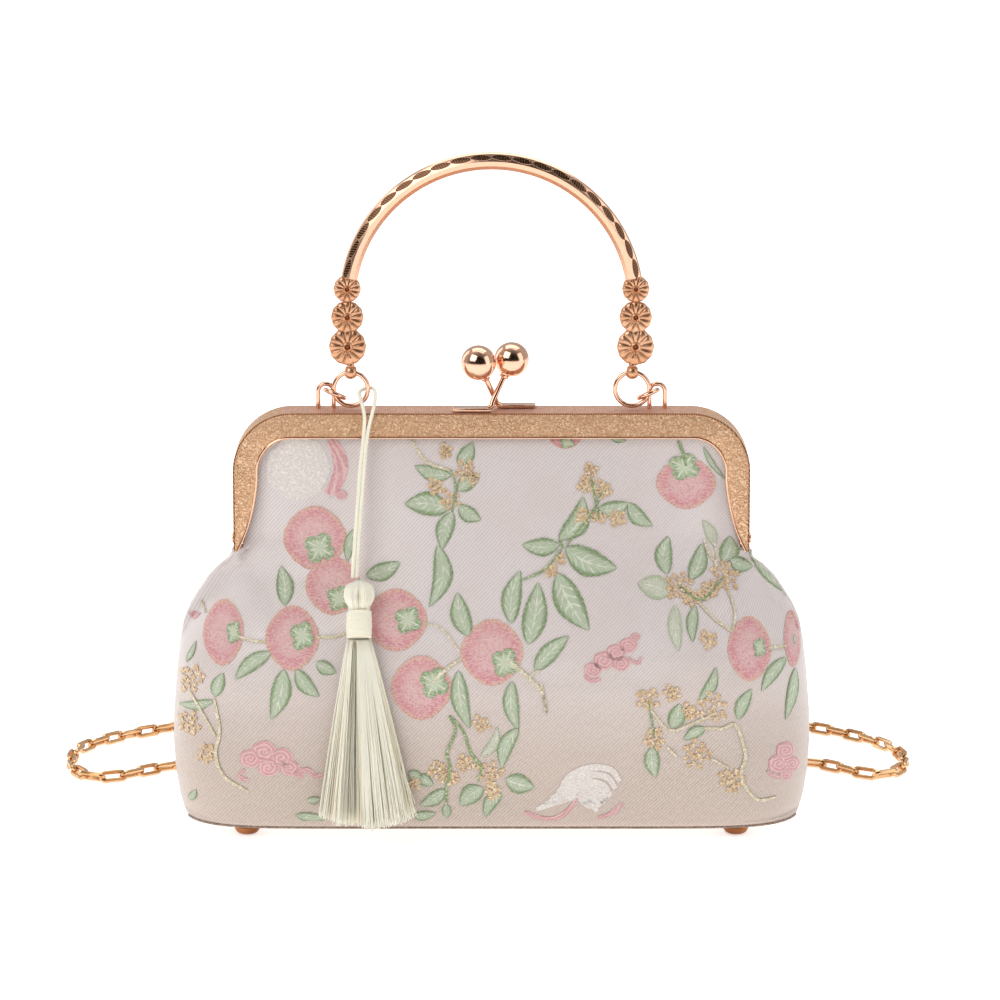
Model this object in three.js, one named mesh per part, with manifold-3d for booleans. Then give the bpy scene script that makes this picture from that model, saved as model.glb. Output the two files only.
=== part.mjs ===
// A brocade purse with a metal kiss-lock frame, an arched handle, a tassel and a shoulder chain.
// Millimetres, +Z up, the front of the purse facing -Y. The purse stands on its four feet.
import * as THREE from 'three';
import { mergeVertices } from 'three/addons/utils/BufferGeometryUtils.js';
import Module from 'manifold-3d';

const wasm = await Module();
wasm.setup();

// Frame
const frameWidth = 200;
const frameTop = 162.7;
const frameDepth = 16;
const frameWall = 1.2;
const faceHeight = 10;
const legTip = 108.3;
const legWidth = 9.7;
const legTipWidth = 0.6;
const cornerRadius = 23;
const jawGap = 0.3;
const clearance = 0.3;

// Hinges at the leg ends
const hingeRise = 3.7;
const rivetRadius = 1;
const rivetHeadRadius = 1.9;
const rivetHeadThickness = 0.7;
const lugRadius = 2.6;

// Brocade bag
const bagHalfWidth = 124.6;
const bagHalfDepth = 41;
const bagBase = 4.8;
const bagWall = 2;
const bagFloor = 3;
const bagMouthHalfDepth = 5.6;
const bagEdgeInset = 4;

// Feet
const footRadius = 5;
const footInset = 29.6;
const footBack = 16;

// Handle
const handleRadius = 55.6;
const archDrop = 5.9;
const handleBand = 6.4;
const handleBandDepth = 6;
const ballEyeRadius = 2.75;
const ballEyeBore = 1.75;
const flowerThickness = 3.4;
const smallFlowerRadius = 5.2;
const middleFlowerRadius = 6.2;
const largeFlowerRadius = 7.1;
const upperOverlap = 0.4;
const lowerOverlap = 1.7;
const eyeNeck = 0.15;
const petalCount = 12;

// Rings and staples
const ringWire = 0.9;
const bigRingRadius = 6.6;
const bigRingInset = 1.2;
const bigRingRise = 8.2;
const smallRingRadius = 3.95;
const stapleStep = 9.8;
const stapleY = 3.2;
const stapleHalfWidth = 3;
const stapleRise = 10.6;
const smallRingStep = new THREE.Vector3(6.27, 1.52, -2.24);
const smallRingAxis = new THREE.Vector3(-0.394, 0.171, 0.903);

// Kiss-lock
const lockBallRadius = 6.8;
const lockStemRise = 10.7;
const lockBallY = 3.5;
const lockWire = 1.05;
const lockPlateThickness = 1.3;
const lockPlateWidth = 14.8;
const lockPlateDepth = 5.2;
const leftBallX = -5.05;
const rightBallX = 7.8;
const frontPlateX = -7.5;
const rearPlateX = 9.7;

// Tassel
const tasselX = -50.6;
const tasselHeadTop = 102.9;
const tasselHeadRadius = 5.7;
const tasselWaist = 80.3;
const tasselHem = 11;
const tasselWrapRadius = 5;
const tasselWrapWall = 1.4;
const tasselWrapHeight = 11.2;
const skirtTopHalfWidth = 4.2;
const skirtHemHalfWidth = 17.6;
const skirtLock = 3.1;
const skirtLocks = 6;
const cordRadius = 0.7;

// Shoulder chain
const chainRadius = 2;
const eyeX = 60;
const eyeDrop = 5.7;
const eyeRadius = 3.6;
const endLinkHalfWidth = 2;
const endLinkLength = 9;
const endLinkWire = 0.75;

// Route of the tassel's cord: from the head up, round the big ring's wire, and back down.
const cordRoute = [
  [-51.6, -34.6, 103.9], [-51.4, -31.6, 108.5], [-51.0, -28.2, 116], [-50.4, -24.3, 125],
  [-49.7, -20.2, 134], [-49.0, -15.9, 143], [-48.3, -12.0, 151], [-47.4, -9.9, 157],
  [-46.4, -9.1, 161.2], [-45.5, -8.1, 164.6], [-45.0, -6.0, 167.2], [-44.9, -3.2, 169.2],
  [-45.3, 0.2, 170.6], [-46.9, 2.6, 170.9], [-49.2, 2.8, 170.5], [-50.8, 0.9, 169.8],
  [-51.0, -2.0, 168.9], [-50.4, -5.0, 167.3], [-49.5, -7.7, 165.0], [-48.9, -9.3, 161.2],
  [-49.1, -10.0, 157], [-49.6, -12.2, 151], [-50.5, -16.1, 143], [-51.1, -20.4, 134],
  [-51.8, -24.5, 125], [-52.4, -28.4, 116], [-52.9, -31.8, 108.5], [-53.1, -34.6, 103.9],
];

// Route of the shoulder chain: down the back, out along the floor on both sides, and back up.
// Its depths are for a bag of routeHalfDepth.
const routeHalfDepth = 41;
const chainRoute = [
  [-60, 12.8, 147.8], [-60, 17.5, 137], [-60, 22, 126], [-60, 27.5, 112], [-60.5, 33, 97],
  [-61, 39, 82], [-62, 43.5, 64], [-63, 45.5, 45], [-65, 46.5, 26], [-68, 48.5, 11],
  [-75, 52, 3.2], [-86, 56.5, 2.2], [-101, 63, 2.2], [-117, 68, 2.2], [-131, 65, 2.2],
  [-141, 58, 2.2], [-149, 51.5, 2.2], [-157.5, 48.5, 2.2], [-165, 52, 2.2], [-170, 61, 2.2],
  [-172.3, 73, 2.2], [-171.5, 87, 2.2], [-167, 99, 2.2], [-157, 111, 2.2], [-145, 120.5, 2.2],
  [-130, 129.5, 2.2], [-110, 136, 2.2], [-80, 140, 2.2], [-40, 142, 2.2], [0, 142.5, 2.2],
  [40, 142, 2.2], [80, 140, 2.2], [110, 136, 2.2], [130, 129.5, 2.2], [145, 119, 2.2],
  [157, 107, 2.2], [165, 94, 2.2], [168.8, 79, 2.2], [167.5, 65, 2.2], [163, 56, 2.2],
  [156, 52.5, 2.2], [148.5, 56, 2.2], [141, 63, 2.2], [131, 70, 2.2], [117, 71, 2.2],
  [101, 65, 2.2], [86, 57.5, 2.2],
  [75, 52, 3.2], [68, 48.5, 11], [65, 46.5, 26], [63, 45.5, 45], [62, 43.5, 64],
  [61, 39, 82], [60.5, 33, 97], [60, 27.5, 112], [60, 22, 126], [60, 17.5, 137],
  [60, 12.8, 147.8],
];

// Sections of the bag below the frame: rise above the base, half width and half depth, each as a
// share of the rise to the leg tips, the greatest half width and the greatest half depth.
const bagSections = [
  { rise: 0, width: 0.967, depth: 0.94 },
  { rise: 0.075, width: 0.984, depth: 0.965 },
  { rise: 0.167, width: 0.995, depth: 0.985 },
  { rise: 0.274, width: 1, depth: 1 },
  { rise: 0.39, width: 0.998, depth: 1 },
  { rise: 0.536, width: 0.988, depth: 0.985 },
  { rise: 0.653, width: 0.977, depth: 0.95 },
  { rise: 0.731, width: 0.965, depth: 0.905 },
  { rise: 0.789, width: 0.944, depth: 0.86 },
  { rise: 0.847, width: 0.914, depth: 0.8 },
  { rise: 0.896, width: 0.886, depth: 0.75 },
  { rise: 0.935, width: 0.853, depth: 0.705 },
  { rise: 0.974, width: 0.815, depth: 0.665 },
];

// Sizes that follow
const halfFrame = frameWidth / 2;
const halfDepth = frameDepth / 2;
const cornerX = halfFrame - cornerRadius;
const cornerZ = frameTop - cornerRadius;
const bagShoulder = legTip - 2 * clearance;
const bagTop = frameTop - frameWall - clearance;
const bagFrameHalfWidth = halfFrame - 2 * (frameWall + clearance) - clearance;
const faceBottom = frameTop - faceHeight;
const lugOuterX = halfFrame - frameWall - clearance;
const plateBottom = frameTop + clearance;
const lockBallHeight = plateBottom + lockPlateThickness + lockStemRise + lockBallRadius;
const hingeHeight = legTip + hingeRise;
const eyeHeight = frameTop - eyeDrop;
const footX = bagHalfWidth - footInset;
const footY = bagHalfDepth - footBack;
const bigRingX = handleRadius - bigRingInset;
const bigRingHeight = frameTop + bigRingRise;
const ballEyeHeight = bigRingHeight + bigRingRadius;
const stapleX = bigRingX + stapleStep;
const largeFlower = {
  radius: largeFlowerRadius,
  height: ballEyeHeight + ballEyeRadius + eyeNeck + largeFlowerRadius,
};
const middleFlower = {
  radius: middleFlowerRadius,
  height: largeFlower.height + largeFlowerRadius + middleFlowerRadius - lowerOverlap,
};
const smallFlower = {
  radius: smallFlowerRadius,
  height: middleFlower.height + middleFlowerRadius + smallFlowerRadius - upperOverlap,
};
const handleCentreHeight = smallFlower.height - archDrop;

const metal = (name, color, roughness) =>
  new THREE.MeshStandardMaterial({ name, color, roughness, metalness: 1 });
const fabric = (name, color, roughness) =>
  new THREE.MeshStandardMaterial({ name, color, roughness, metalness: 0 });

function toSolid(geometry) {
  const bare = geometry.clone();
  bare.deleteAttribute('normal');
  bare.deleteAttribute('uv');
  const merged = mergeVertices(bare, 1e-4);
  return new wasm.Manifold(new wasm.Mesh({
    numProp: 3,
    vertProperties: new Float32Array(merged.attributes.position.array),
    triVerts: new Uint32Array(merged.index.array),
  }));
}

function toGeometry(solid) {
  const mesh = solid.getMesh();
  const geometry = new THREE.BufferGeometry();
  geometry.setAttribute('position', new THREE.BufferAttribute(mesh.vertProperties, 3));
  geometry.setIndex(new THREE.BufferAttribute(mesh.triVerts, 1));
  geometry.computeVertexNormals();
  return geometry;
}

function join(geometries) {
  return geometries.map(toSolid).reduce((whole, solid) => whole.add(solid));
}

function named(name, geometry, material) {
  const mesh = new THREE.Mesh(geometry, material);
  mesh.name = name;
  return mesh;
}

function block(x0, x1, y0, y1, z0, z1) {
  const box = new THREE.BoxGeometry(x1 - x0, y1 - y0, z1 - z0);
  return box.translate((x0 + x1) / 2, (y0 + y1) / 2, (z0 + z1) / 2);
}

// A shape drawn in X and Z, as thick as from y0 to y1.
function slab(points, y0, y1) {
  const shape = new THREE.Shape(points.map(([x, z]) => new THREE.Vector2(x, z)));
  const geometry = new THREE.ExtrudeGeometry(shape, { depth: y1 - y0, bevelEnabled: false });
  return geometry.rotateX(Math.PI / 2).translate(0, y1, 0);
}

function wireAlong(points, radius, sides, steps) {
  const curve = new THREE.CatmullRomCurve3(points.map((p) => new THREE.Vector3(...p)), false, 'centripetal');
  const section = new THREE.Shape();
  for (let i = 0; i < sides; i += 1) {
    const angle = (2 * Math.PI * (i + 0.5)) / sides;
    const x = radius * Math.cos(angle);
    const y = radius * Math.sin(angle);
    if (i === 0) section.moveTo(x, y);
    else section.lineTo(x, y);
  }
  section.closePath();
  return new THREE.ExtrudeGeometry(section, { extrudePath: curve, steps, curveSegments: 1 });
}

function cylinderAlongX(radius, x0, x1, y, z, sides) {
  const rod = new THREE.CylinderGeometry(radius, radius, x1 - x0, sides);
  return rod.rotateZ(Math.PI / 2).translate((x0 + x1) / 2, y, z);
}

// A closed body through rings of points, from the lowest ring to the highest.
function loft(rings) {
  const count = rings[0].length;
  const positions = rings.flat(2);
  const indices = [];
  for (let level = 0; level < rings.length - 1; level += 1) {
    for (let i = 0; i < count; i += 1) {
      const next = (i + 1) % count;
      const a = level * count + i;
      const b = level * count + next;
      indices.push(a, b, b + count, a, b + count, a + count);
    }
  }
  const top = (rings.length - 1) * count;
  for (const [start, turned] of [[0, true], [top, false]]) {
    const ring = rings[start / count];
    const centre = positions.length / 3;
    positions.push(0, 0, ring[0][2]);
    for (let i = 0; i < count; i += 1) {
      const a = start + i;
      const b = start + ((i + 1) % count);
      if (turned) indices.push(centre, b, a);
      else indices.push(centre, a, b);
    }
  }
  const geometry = new THREE.BufferGeometry();
  geometry.setAttribute('position', new THREE.Float32BufferAttribute(positions, 3));
  geometry.setIndex(indices);
  return geometry;
}

const mix = THREE.MathUtils.lerp;

function tableValue(rows, key, share) {
  for (let i = 1; i < rows.length; i += 1) {
    if (share <= rows[i].rise) {
      const step = (share - rows[i - 1].rise) / (rows[i].rise - rows[i - 1].rise);
      return mix(rows[i - 1][key], rows[i][key], Math.max(step, 0));
    }
  }
  return rows[rows.length - 1][key];
}

// Half width and greatest half depth of the bag at a height.
function bagSize(z) {
  const share = (z - bagBase) / (bagShoulder - bagBase);
  if (share < 1) {
    return {
      width: bagHalfWidth * tableValue(bagSections, 'width', share),
      depth: bagHalfDepth * tableValue(bagSections, 'depth', share),
    };
  }
  const radius = cornerRadius - (halfFrame - bagFrameHalfWidth);
  const rise = THREE.MathUtils.clamp((z - cornerZ) / radius, 0, 1);
  const width = cornerX + radius * Math.sqrt(1 - rise * rise);
  const slope = THREE.MathUtils.clamp((faceBottom - clearance - z) / (faceBottom - bagShoulder), 0, 1);
  return { width, depth: mix(bagMouthHalfDepth, bagHalfDepth * 0.64, slope) };
}

// Half depth of the bag at a share of the half width: square at the base, thin in the frame.
function bagDepth(share, z, size) {
  const s = Math.min(Math.abs(share), 1);
  const inFrame = THREE.MathUtils.smoothstep(z, 0.6 * bagShoulder, bagShoulder);
  const squareness = mix(10, 6, THREE.MathUtils.smoothstep(z, bagBase, 0.5 * bagShoulder));
  const fullness = mix(squareness, 2.6, inFrame);
  const rounding = mix(0.5, 1.15, inFrame);
  const legShare = (halfFrame - legWidth) / bagFrameHalfWidth;
  const span = mix(1, 0.985 * legShare, inFrame);
  const edge = bagMouthHalfDepth * (1 - s ** 8) ** 0.125;
  const t = Math.min(s / span, 1);
  const swell = (1 - t ** fullness) ** rounding;
  return Math.max(edge + (size.depth - bagMouthHalfDepth) * swell, 0);
}

function bagRing(z, inset, drop = 0) {
  const around = 18;
  const size = bagSize(z);
  const width = size.width - inset;
  const front = [];
  for (let i = 0; i < around; i += 1) {
    const c = Math.cos((Math.PI * i) / around);
    const share = Math.sign(c) * Math.abs(c) ** 0.72;
    const depth = Math.max(bagDepth(share, z, size) - inset * (1 - share ** 12), 0);
    front.push([share * width, -depth, z + drop]);
  }
  const rear = front.map(([x, y, height]) => [-x, -y, height]);
  return [...front, ...rear].reverse();
}

function bagBody() {
  const outerHeights = [14, 24, 38, 56, 70, 80, 87, 93, 99, 104, bagShoulder];
  const upperHeights = [112, 121, 131, 141, 147, faceBottom - clearance, 157, bagTop];
  const outer = [
    bagRing(bagBase, bagEdgeInset),
    bagRing(bagBase, 0.3 * bagEdgeInset, 0.3 * bagEdgeInset),
    bagRing(bagBase + bagEdgeInset, 0),
    ...[...outerHeights, ...upperHeights].map((z) => bagRing(z, 0)),
  ];
  const innerHeights = [24, 50, 70, 84, 94, 101, bagShoulder, 121, 138, 149, 157];
  const inner = [
    bagRing(bagBase + bagFloor, bagEdgeInset + bagWall),
    bagRing(bagBase + bagFloor + bagEdgeInset, bagWall),
    ...innerHeights.map((z) => bagRing(z, bagWall)),
    bagRing(bagTop, bagWall, 1),
  ];
  const slitHalf = bagMouthHalfDepth - bagWall;
  const slit = block(-halfFrame, halfFrame, -slitHalf, slitHalf, legTip + clearance, frameTop);
  return toGeometry(toSolid(loft(outer)).subtract(toSolid(loft(inner))).subtract(toSolid(slit)));
}

// The frame's outer edge from the left leg tip over the top to the right, set in by an inset.
function frameEdge(inset) {
  const radius = cornerRadius - inset;
  const points = [[-halfFrame + inset, legTip]];
  for (const side of [-1, 1]) {
    for (let i = 0; i <= 7; i += 1) {
      const turn = (Math.PI / 2) * (i / 7);
      const angle = side < 0 ? Math.PI - turn : Math.PI / 2 - turn;
      points.push([side * cornerX + radius * Math.cos(angle), cornerZ + radius * Math.sin(angle)]);
    }
  }
  points.push([halfFrame - inset, legTip]);
  return points;
}

// The frame's inner edge from the right leg tip over the top to the left, each leg tapering.
function frameInnerEdge() {
  const innerX = halfFrame - legWidth;
  const radius = innerX - cornerX;
  const taperTop = cornerZ - 0.12 * cornerRadius;
  const bend = legTip + 0.44 * (taperTop - legTip);
  const leg = new THREE.QuadraticBezierCurve(
    new THREE.Vector2(halfFrame - legTipWidth - frameWall, legTip),
    new THREE.Vector2(innerX + 1.2, bend),
    new THREE.Vector2(innerX, taperTop),
  ).getPoints(4).map((p) => [p.x, p.y]);
  const corner = [];
  for (let i = 0; i <= 6; i += 1) {
    const angle = (Math.PI / 2) * (i / 6);
    const z = faceBottom - radius + radius * Math.sin(angle);
    corner.push([cornerX + radius * Math.cos(angle), z]);
  }
  const right = [...leg, ...corner];
  const left = right.map(([x, z]) => [-x, z]).reverse();
  return [...right, ...left];
}

// One channel-shaped jaw, built for the front and turned for the rear.
function jawChannel() {
  const outer = frameEdge(0);
  const face = [...outer, ...frameInnerEdge()];
  const web = [...outer, ...frameEdge(frameWall).reverse()];
  const inner = -jawGap / 2;
  return join([
    slab(face, -halfDepth, -halfDepth + frameWall),
    slab(web, -halfDepth, inner),
    slab(face, inner - frameWall, inner),
  ]);
}

function lug(x0, x1, y0, y1) {
  const plate = block(x0, x1, Math.min(y0, 0), Math.max(y1, 0), hingeHeight - lugRadius, hingeHeight + lugRadius);
  return join([plate, cylinderAlongX(lugRadius, x0, x1, 0, hingeHeight, 16)]);
}

function hingeCut(side, x0, x1, y0, y1) {
  const margin = lugRadius + clearance;
  const [low, high] = side > 0 ? [x0, x1] : [-x1, -x0];
  return toSolid(block(low, high, y0, y1, legTip - 1, hingeHeight + margin));
}

function rivetHole(side) {
  const reach = 2 * frameWall + 6 * clearance;
  const x = side * (halfFrame - frameWall);
  const face = lugOuterX - frameWall;
  const [low, high] = side > 0 ? [face - legWidth / 2, face] : [-face, legWidth / 2 - face];
  const shank = cylinderAlongX(rivetRadius + clearance, x - reach, x + reach, 0, hingeHeight, 16);
  const head = cylinderAlongX(rivetHeadRadius + clearance, low, high, 0, hingeHeight, 16);
  return toSolid(shank).add(toSolid(head));
}

function frontJaw() {
  let jaw = jawChannel();
  const margin = lugRadius + clearance;
  for (const side of [-1, 1]) {
    const [x0, x1] = side > 0 ? [lugOuterX - frameWall, lugOuterX] : [-lugOuterX, frameWall - lugOuterX];
    jaw = jaw.subtract(hingeCut(side, lugOuterX, halfFrame + 1, -margin, 0));
    jaw = jaw.add(lug(x0, x1, -halfDepth + frameWall / 2, 0)).subtract(rivetHole(side));
  }
  return toGeometry(jaw);
}

function staple(x) {
  const legTop = frameTop + stapleRise - stapleHalfWidth - ringWire;
  const foot = frameTop - frameWall / 2;
  const points = [[x - stapleHalfWidth, stapleY, foot], [x - stapleHalfWidth, stapleY, (foot + legTop) / 2]];
  for (let i = 0; i <= 6; i += 1) {
    const angle = Math.PI * (1 - i / 6);
    points.push([x + stapleHalfWidth * Math.cos(angle), stapleY, legTop + stapleHalfWidth * Math.sin(angle)]);
  }
  points.push([x + stapleHalfWidth, stapleY, (foot + legTop) / 2], [x + stapleHalfWidth, stapleY, foot]);
  return wireAlong(points, ringWire, 6, 14);
}

function chainEye(x) {
  const points = [];
  for (let i = 0; i <= 6; i += 1) {
    const angle = Math.PI * (0.5 - i / 6);
    points.push([x, halfDepth - 0.4 + eyeRadius * Math.cos(angle), eyeHeight + eyeRadius * Math.sin(angle)]);
  }
  return wireAlong(points, ringWire, 6, 7);
}

function rearJaw() {
  let jaw = toSolid(toGeometry(jawChannel()).rotateZ(Math.PI));
  const margin = lugRadius + clearance;
  for (const side of [-1, 1]) {
    const [x0, x1] = side > 0 ? [halfFrame - frameWall, halfFrame] : [-halfFrame, frameWall - halfFrame];
    const clear = hingeCut(side, lugOuterX - frameWall - clearance, halfFrame - frameWall, 0, margin);
    jaw = jaw.subtract(clear).add(lug(x0, x1, 0, halfDepth - frameWall / 2)).subtract(rivetHole(side));
    jaw = jaw.add(toSolid(staple(side * stapleX))).add(toSolid(chainEye(side * eyeX)));
  }
  return toGeometry(jaw);
}

function hingeRivet(side) {
  const inner = lugOuterX - frameWall - clearance;
  const outer = halfFrame + clearance;
  const rivet = join([
    cylinderAlongX(rivetRadius, inner - rivetHeadThickness / 2, outer + rivetHeadThickness / 2, 0, hingeHeight, 10),
    cylinderAlongX(rivetHeadRadius, inner - rivetHeadThickness, inner, 0, hingeHeight, 10),
    cylinderAlongX(rivetHeadRadius, outer, outer + rivetHeadThickness, 0, hingeHeight, 10),
  ]);
  const geometry = toGeometry(rivet);
  return side > 0 ? geometry : geometry.rotateZ(Math.PI);
}

// A plate on one jaw with a bent stem, a collar and a ball; direction is -1 in front, 1 behind.
function lockHalf(plateX, ballX, direction) {
  const plateY = (direction * halfDepth) / 2;
  const plate = block(
    plateX - lockPlateWidth / 2, plateX + lockPlateWidth / 2,
    plateY - lockPlateDepth / 2, plateY + lockPlateDepth / 2,
    plateBottom, plateBottom + lockPlateThickness,
  );
  const stemX = plateX - direction * (lockPlateWidth / 2 - lockWire);
  const plateTop = plateBottom + lockPlateThickness;
  const ballY = -direction * lockBallY;
  const collarHeight = lockBallHeight - lockBallRadius;
  const stem = wireAlong([
    [stemX, 0.8 * plateY, plateTop - 0.6],
    [mix(stemX, ballX, 0.16), 0.66 * plateY, mix(plateTop, collarHeight, 0.22)],
    [mix(stemX, ballX, 0.6), 0.3 * plateY, mix(plateTop, collarHeight, 0.55)],
    [ballX, 0.8 * ballY, collarHeight - 0.6],
    [ballX, ballY, lockBallHeight - 0.6 * lockBallRadius],
  ], lockWire, 8, 7);
  const collar = new THREE.CylinderGeometry(2.1, 1.7, 1.8, 12);
  collar.rotateX(Math.PI / 2).translate(ballX, ballY, collarHeight + 0.1);
  const ball = new THREE.SphereGeometry(lockBallRadius, 14, 9);
  ball.rotateX(Math.PI / 2).translate(ballX, ballY, lockBallHeight);
  return toGeometry(join([plate, stem, collar, ball]));
}

function flower({ radius, height }) {
  const petals = [];
  const points = petalCount * 2;
  for (let i = 0; i < points; i += 1) {
    const angle = (2 * Math.PI * i) / points;
    const scallop = radius * (0.92 + 0.08 * Math.abs(Math.cos((petalCount * angle) / 2)));
    petals.push([scallop * Math.cos(angle), height + scallop * Math.sin(angle)]);
  }
  const disc = slab(petals, -flowerThickness / 2, flowerThickness / 2);
  const boss = new THREE.CylinderGeometry(0.2 * radius, 0.26 * radius, flowerThickness + 1.2, 8);
  return [disc, boss.translate(0, 0, height)];
}

function handleTerminal(side) {
  const shift = side * (bigRingX - handleRadius);
  const ball = new THREE.SphereGeometry(ballEyeRadius, 10, 7).translate(shift, 0, ballEyeHeight);
  const neckTop = largeFlower.height - 0.8 * largeFlower.radius;
  const neckBottom = ballEyeHeight + ballEyeBore;
  const neck = new THREE.CylinderGeometry(1.5, 1.5, neckTop - neckBottom, 10);
  neck.rotateX(Math.PI / 2).translate(shift, 0, (neckTop + neckBottom) / 2);
  const whole = join([...flower(smallFlower), ...flower(middleFlower), ...flower(largeFlower), ball, neck]);
  const reach = ballEyeRadius + 1;
  const bore = cylinderAlongX(ballEyeBore, shift - reach, shift + reach, 0, ballEyeHeight, 12);
  return toGeometry(whole.subtract(toSolid(bore))).translate(side * handleRadius, 0, 0);
}

// A half ring of a bevelled section, its ends resting on the small flowers.
function handleArch() {
  const footHeight = smallFlower.height + smallFlower.radius + clearance;
  const start = Math.asin((footHeight - handleCentreHeight) / handleRadius);
  const half = handleBand / 2;
  const deep = handleBandDepth / 2;
  const section = [
    [-half, -0.5 * deep], [-0.55 * half, -0.95 * deep], [0.1 * half, -deep], [0.6 * half, -0.85 * deep],
    [half, -0.45 * deep], [half, 0.45 * deep], [0.6 * half, 0.85 * deep], [0.1 * half, deep],
    [-0.55 * half, 0.95 * deep], [-half, 0.5 * deep],
  ];
  const steps = 26;
  const rings = [];
  for (let i = 0; i <= steps; i += 1) {
    const angle = mix(start, Math.PI - start, i / steps);
    rings.push(section.map(([out, y]) => {
      const radius = handleRadius + out;
      return [radius * Math.cos(angle), y, handleCentreHeight + radius * Math.sin(angle)];
    }));
  }
  return archLoft(rings);
}

// A closed body through rings whose ends are flat faces with their own middle points.
function archLoft(rings) {
  const count = rings[0].length;
  const positions = rings.flat(2);
  const indices = [];
  for (let level = 0; level < rings.length - 1; level += 1) {
    for (let i = 0; i < count; i += 1) {
      const a = level * count + i;
      const b = level * count + ((i + 1) % count);
      indices.push(a, b, b + count, a, b + count, a + count);
    }
  }
  const top = (rings.length - 1) * count;
  for (let i = 1; i < count - 1; i += 1) {
    indices.push(0, i + 1, i);
    indices.push(top, top + i, top + i + 1);
  }
  const geometry = new THREE.BufferGeometry();
  geometry.setAttribute('position', new THREE.Float32BufferAttribute(positions, 3));
  geometry.setIndex(indices);
  return geometry;
}

function bigRing(side) {
  const ring = new THREE.TorusGeometry(bigRingRadius, ringWire, 6, 18);
  return ring.rotateX(Math.PI / 2).translate(side * bigRingX, 0, bigRingHeight);
}

function smallRing(side) {
  const ring = new THREE.TorusGeometry(smallRingRadius, ringWire, 6, 14);
  const axis = new THREE.Vector3(side * smallRingAxis.x, smallRingAxis.y, smallRingAxis.z).normalize();
  ring.applyQuaternion(new THREE.Quaternion().setFromUnitVectors(new THREE.Vector3(0, 0, 1), axis));
  const x = side * (bigRingX + smallRingStep.x);
  return ring.translate(x, smallRingStep.y, bigRingHeight + smallRingStep.z);
}

function foot(x, y) {
  const height = bagBase - clearance;
  const profile = [[0, 0], [3.2, 0], [4.5, 0.25 * height], [footRadius, 0.55 * height], [4.4, height], [0, height]];
  const dome = new THREE.LatheGeometry(profile.map(([r, z]) => new THREE.Vector2(r, z)), 12);
  return dome.rotateX(Math.PI / 2).translate(x, y, 0);
}

// The closed link that hangs in an eye behind the frame and holds the chain's end.
function endLink(side) {
  const count = 12;
  const link = new THREE.TorusGeometry(endLinkHalfWidth, endLinkWire, 6, count);
  link.rotateZ(Math.PI / count);
  const position = link.attributes.position;
  const straight = endLinkLength / 2 - endLinkHalfWidth;
  for (let i = 0; i < position.count; i += 1) {
    position.setY(i, position.getY(i) + Math.sign(position.getY(i)) * straight);
  }
  const lean = 0.34;
  link.rotateX(Math.PI / 2 + lean);
  const drop = endLinkLength / 2 - eyeRadius / 8;
  const y = halfDepth + endLinkWire + 2 * clearance + (endLinkLength / 2) * Math.sin(lean);
  return link.translate(side * eyeX, y, eyeHeight - drop * Math.cos(lean));
}

// The chain's route, moved with the bag's depth below the eyes.
function chainPath() {
  return chainRoute.map(([x, y, z]) => {
    const reach = THREE.MathUtils.clamp((eyeHeight - z) / (eyeHeight - bagShoulder), 0, 1);
    return [x, y * mix(1, bagHalfDepth / routeHalfDepth, reach), z];
  });
}

// Half depth of the bag where the tassel lies on it.
function panelAt(x, z) {
  const size = bagSize(z);
  return bagDepth(x / size.width, z, size);
}

function tasselBody() {
  const waistY = -panelAt(tasselX, tasselWaist) - tasselWrapRadius - 3 * clearance;
  const headY = -panelAt(tasselX, tasselHeadTop - tasselHeadRadius) - tasselHeadRadius - 5 * clearance;
  const neckRadius = tasselWrapRadius - tasselWrapWall - clearance;
  const head = new THREE.SphereGeometry(tasselHeadRadius, 12, 8);
  head.rotateX(Math.PI / 2).translate(tasselX, headY, tasselHeadTop - tasselHeadRadius);
  const headMiddle = tasselHeadTop - tasselHeadRadius;
  const neck = wireAlong([
    [tasselX, headY, headMiddle],
    [tasselX, mix(headY, waistY, 0.35), mix(headMiddle, tasselWaist, 0.35)],
    [tasselX, waistY, tasselWaist],
    [tasselX, waistY, tasselWaist - 4],
  ], neckRadius, 10, 4);
  const pieces = [head, neck];
  const innerX = tasselX + skirtHemHalfWidth;
  for (const row of [0, 1]) {
    for (let i = 0; i < skirtLocks - row; i += 1) {
      const share = (2 * (i + row / 2)) / (skirtLocks - 1) - 1;
      const topX = tasselX + share * (skirtTopHalfWidth - 1.2);
      const hemX = tasselX + 2.6 + share * (skirtHemHalfWidth - skirtLock);
      const hem = tasselHem + 2.2 * Math.cos(2.1 * i + row) + 2.4 * share * share;
      const rowY = waistY - row * 3.4 + 0.8;
      const lean = (z) => Math.min(-panelAt(innerX, z) - skirtLock - 3 * clearance, rowY) - row * 3.4;
      pieces.push(wireAlong([
        [topX, waistY - row * 1.4, tasselWaist - 1],
        [mix(topX, hemX, 0.3), lean(62) - 0.5, mix(tasselWaist, hem, 0.3)],
        [mix(topX, hemX, 0.68), lean(36), mix(tasselWaist, hem, 0.68)],
        [hemX, lean(36), hem],
      ], skirtLock, 6, 3));
    }
  }
  return toGeometry(join(pieces));
}

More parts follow.
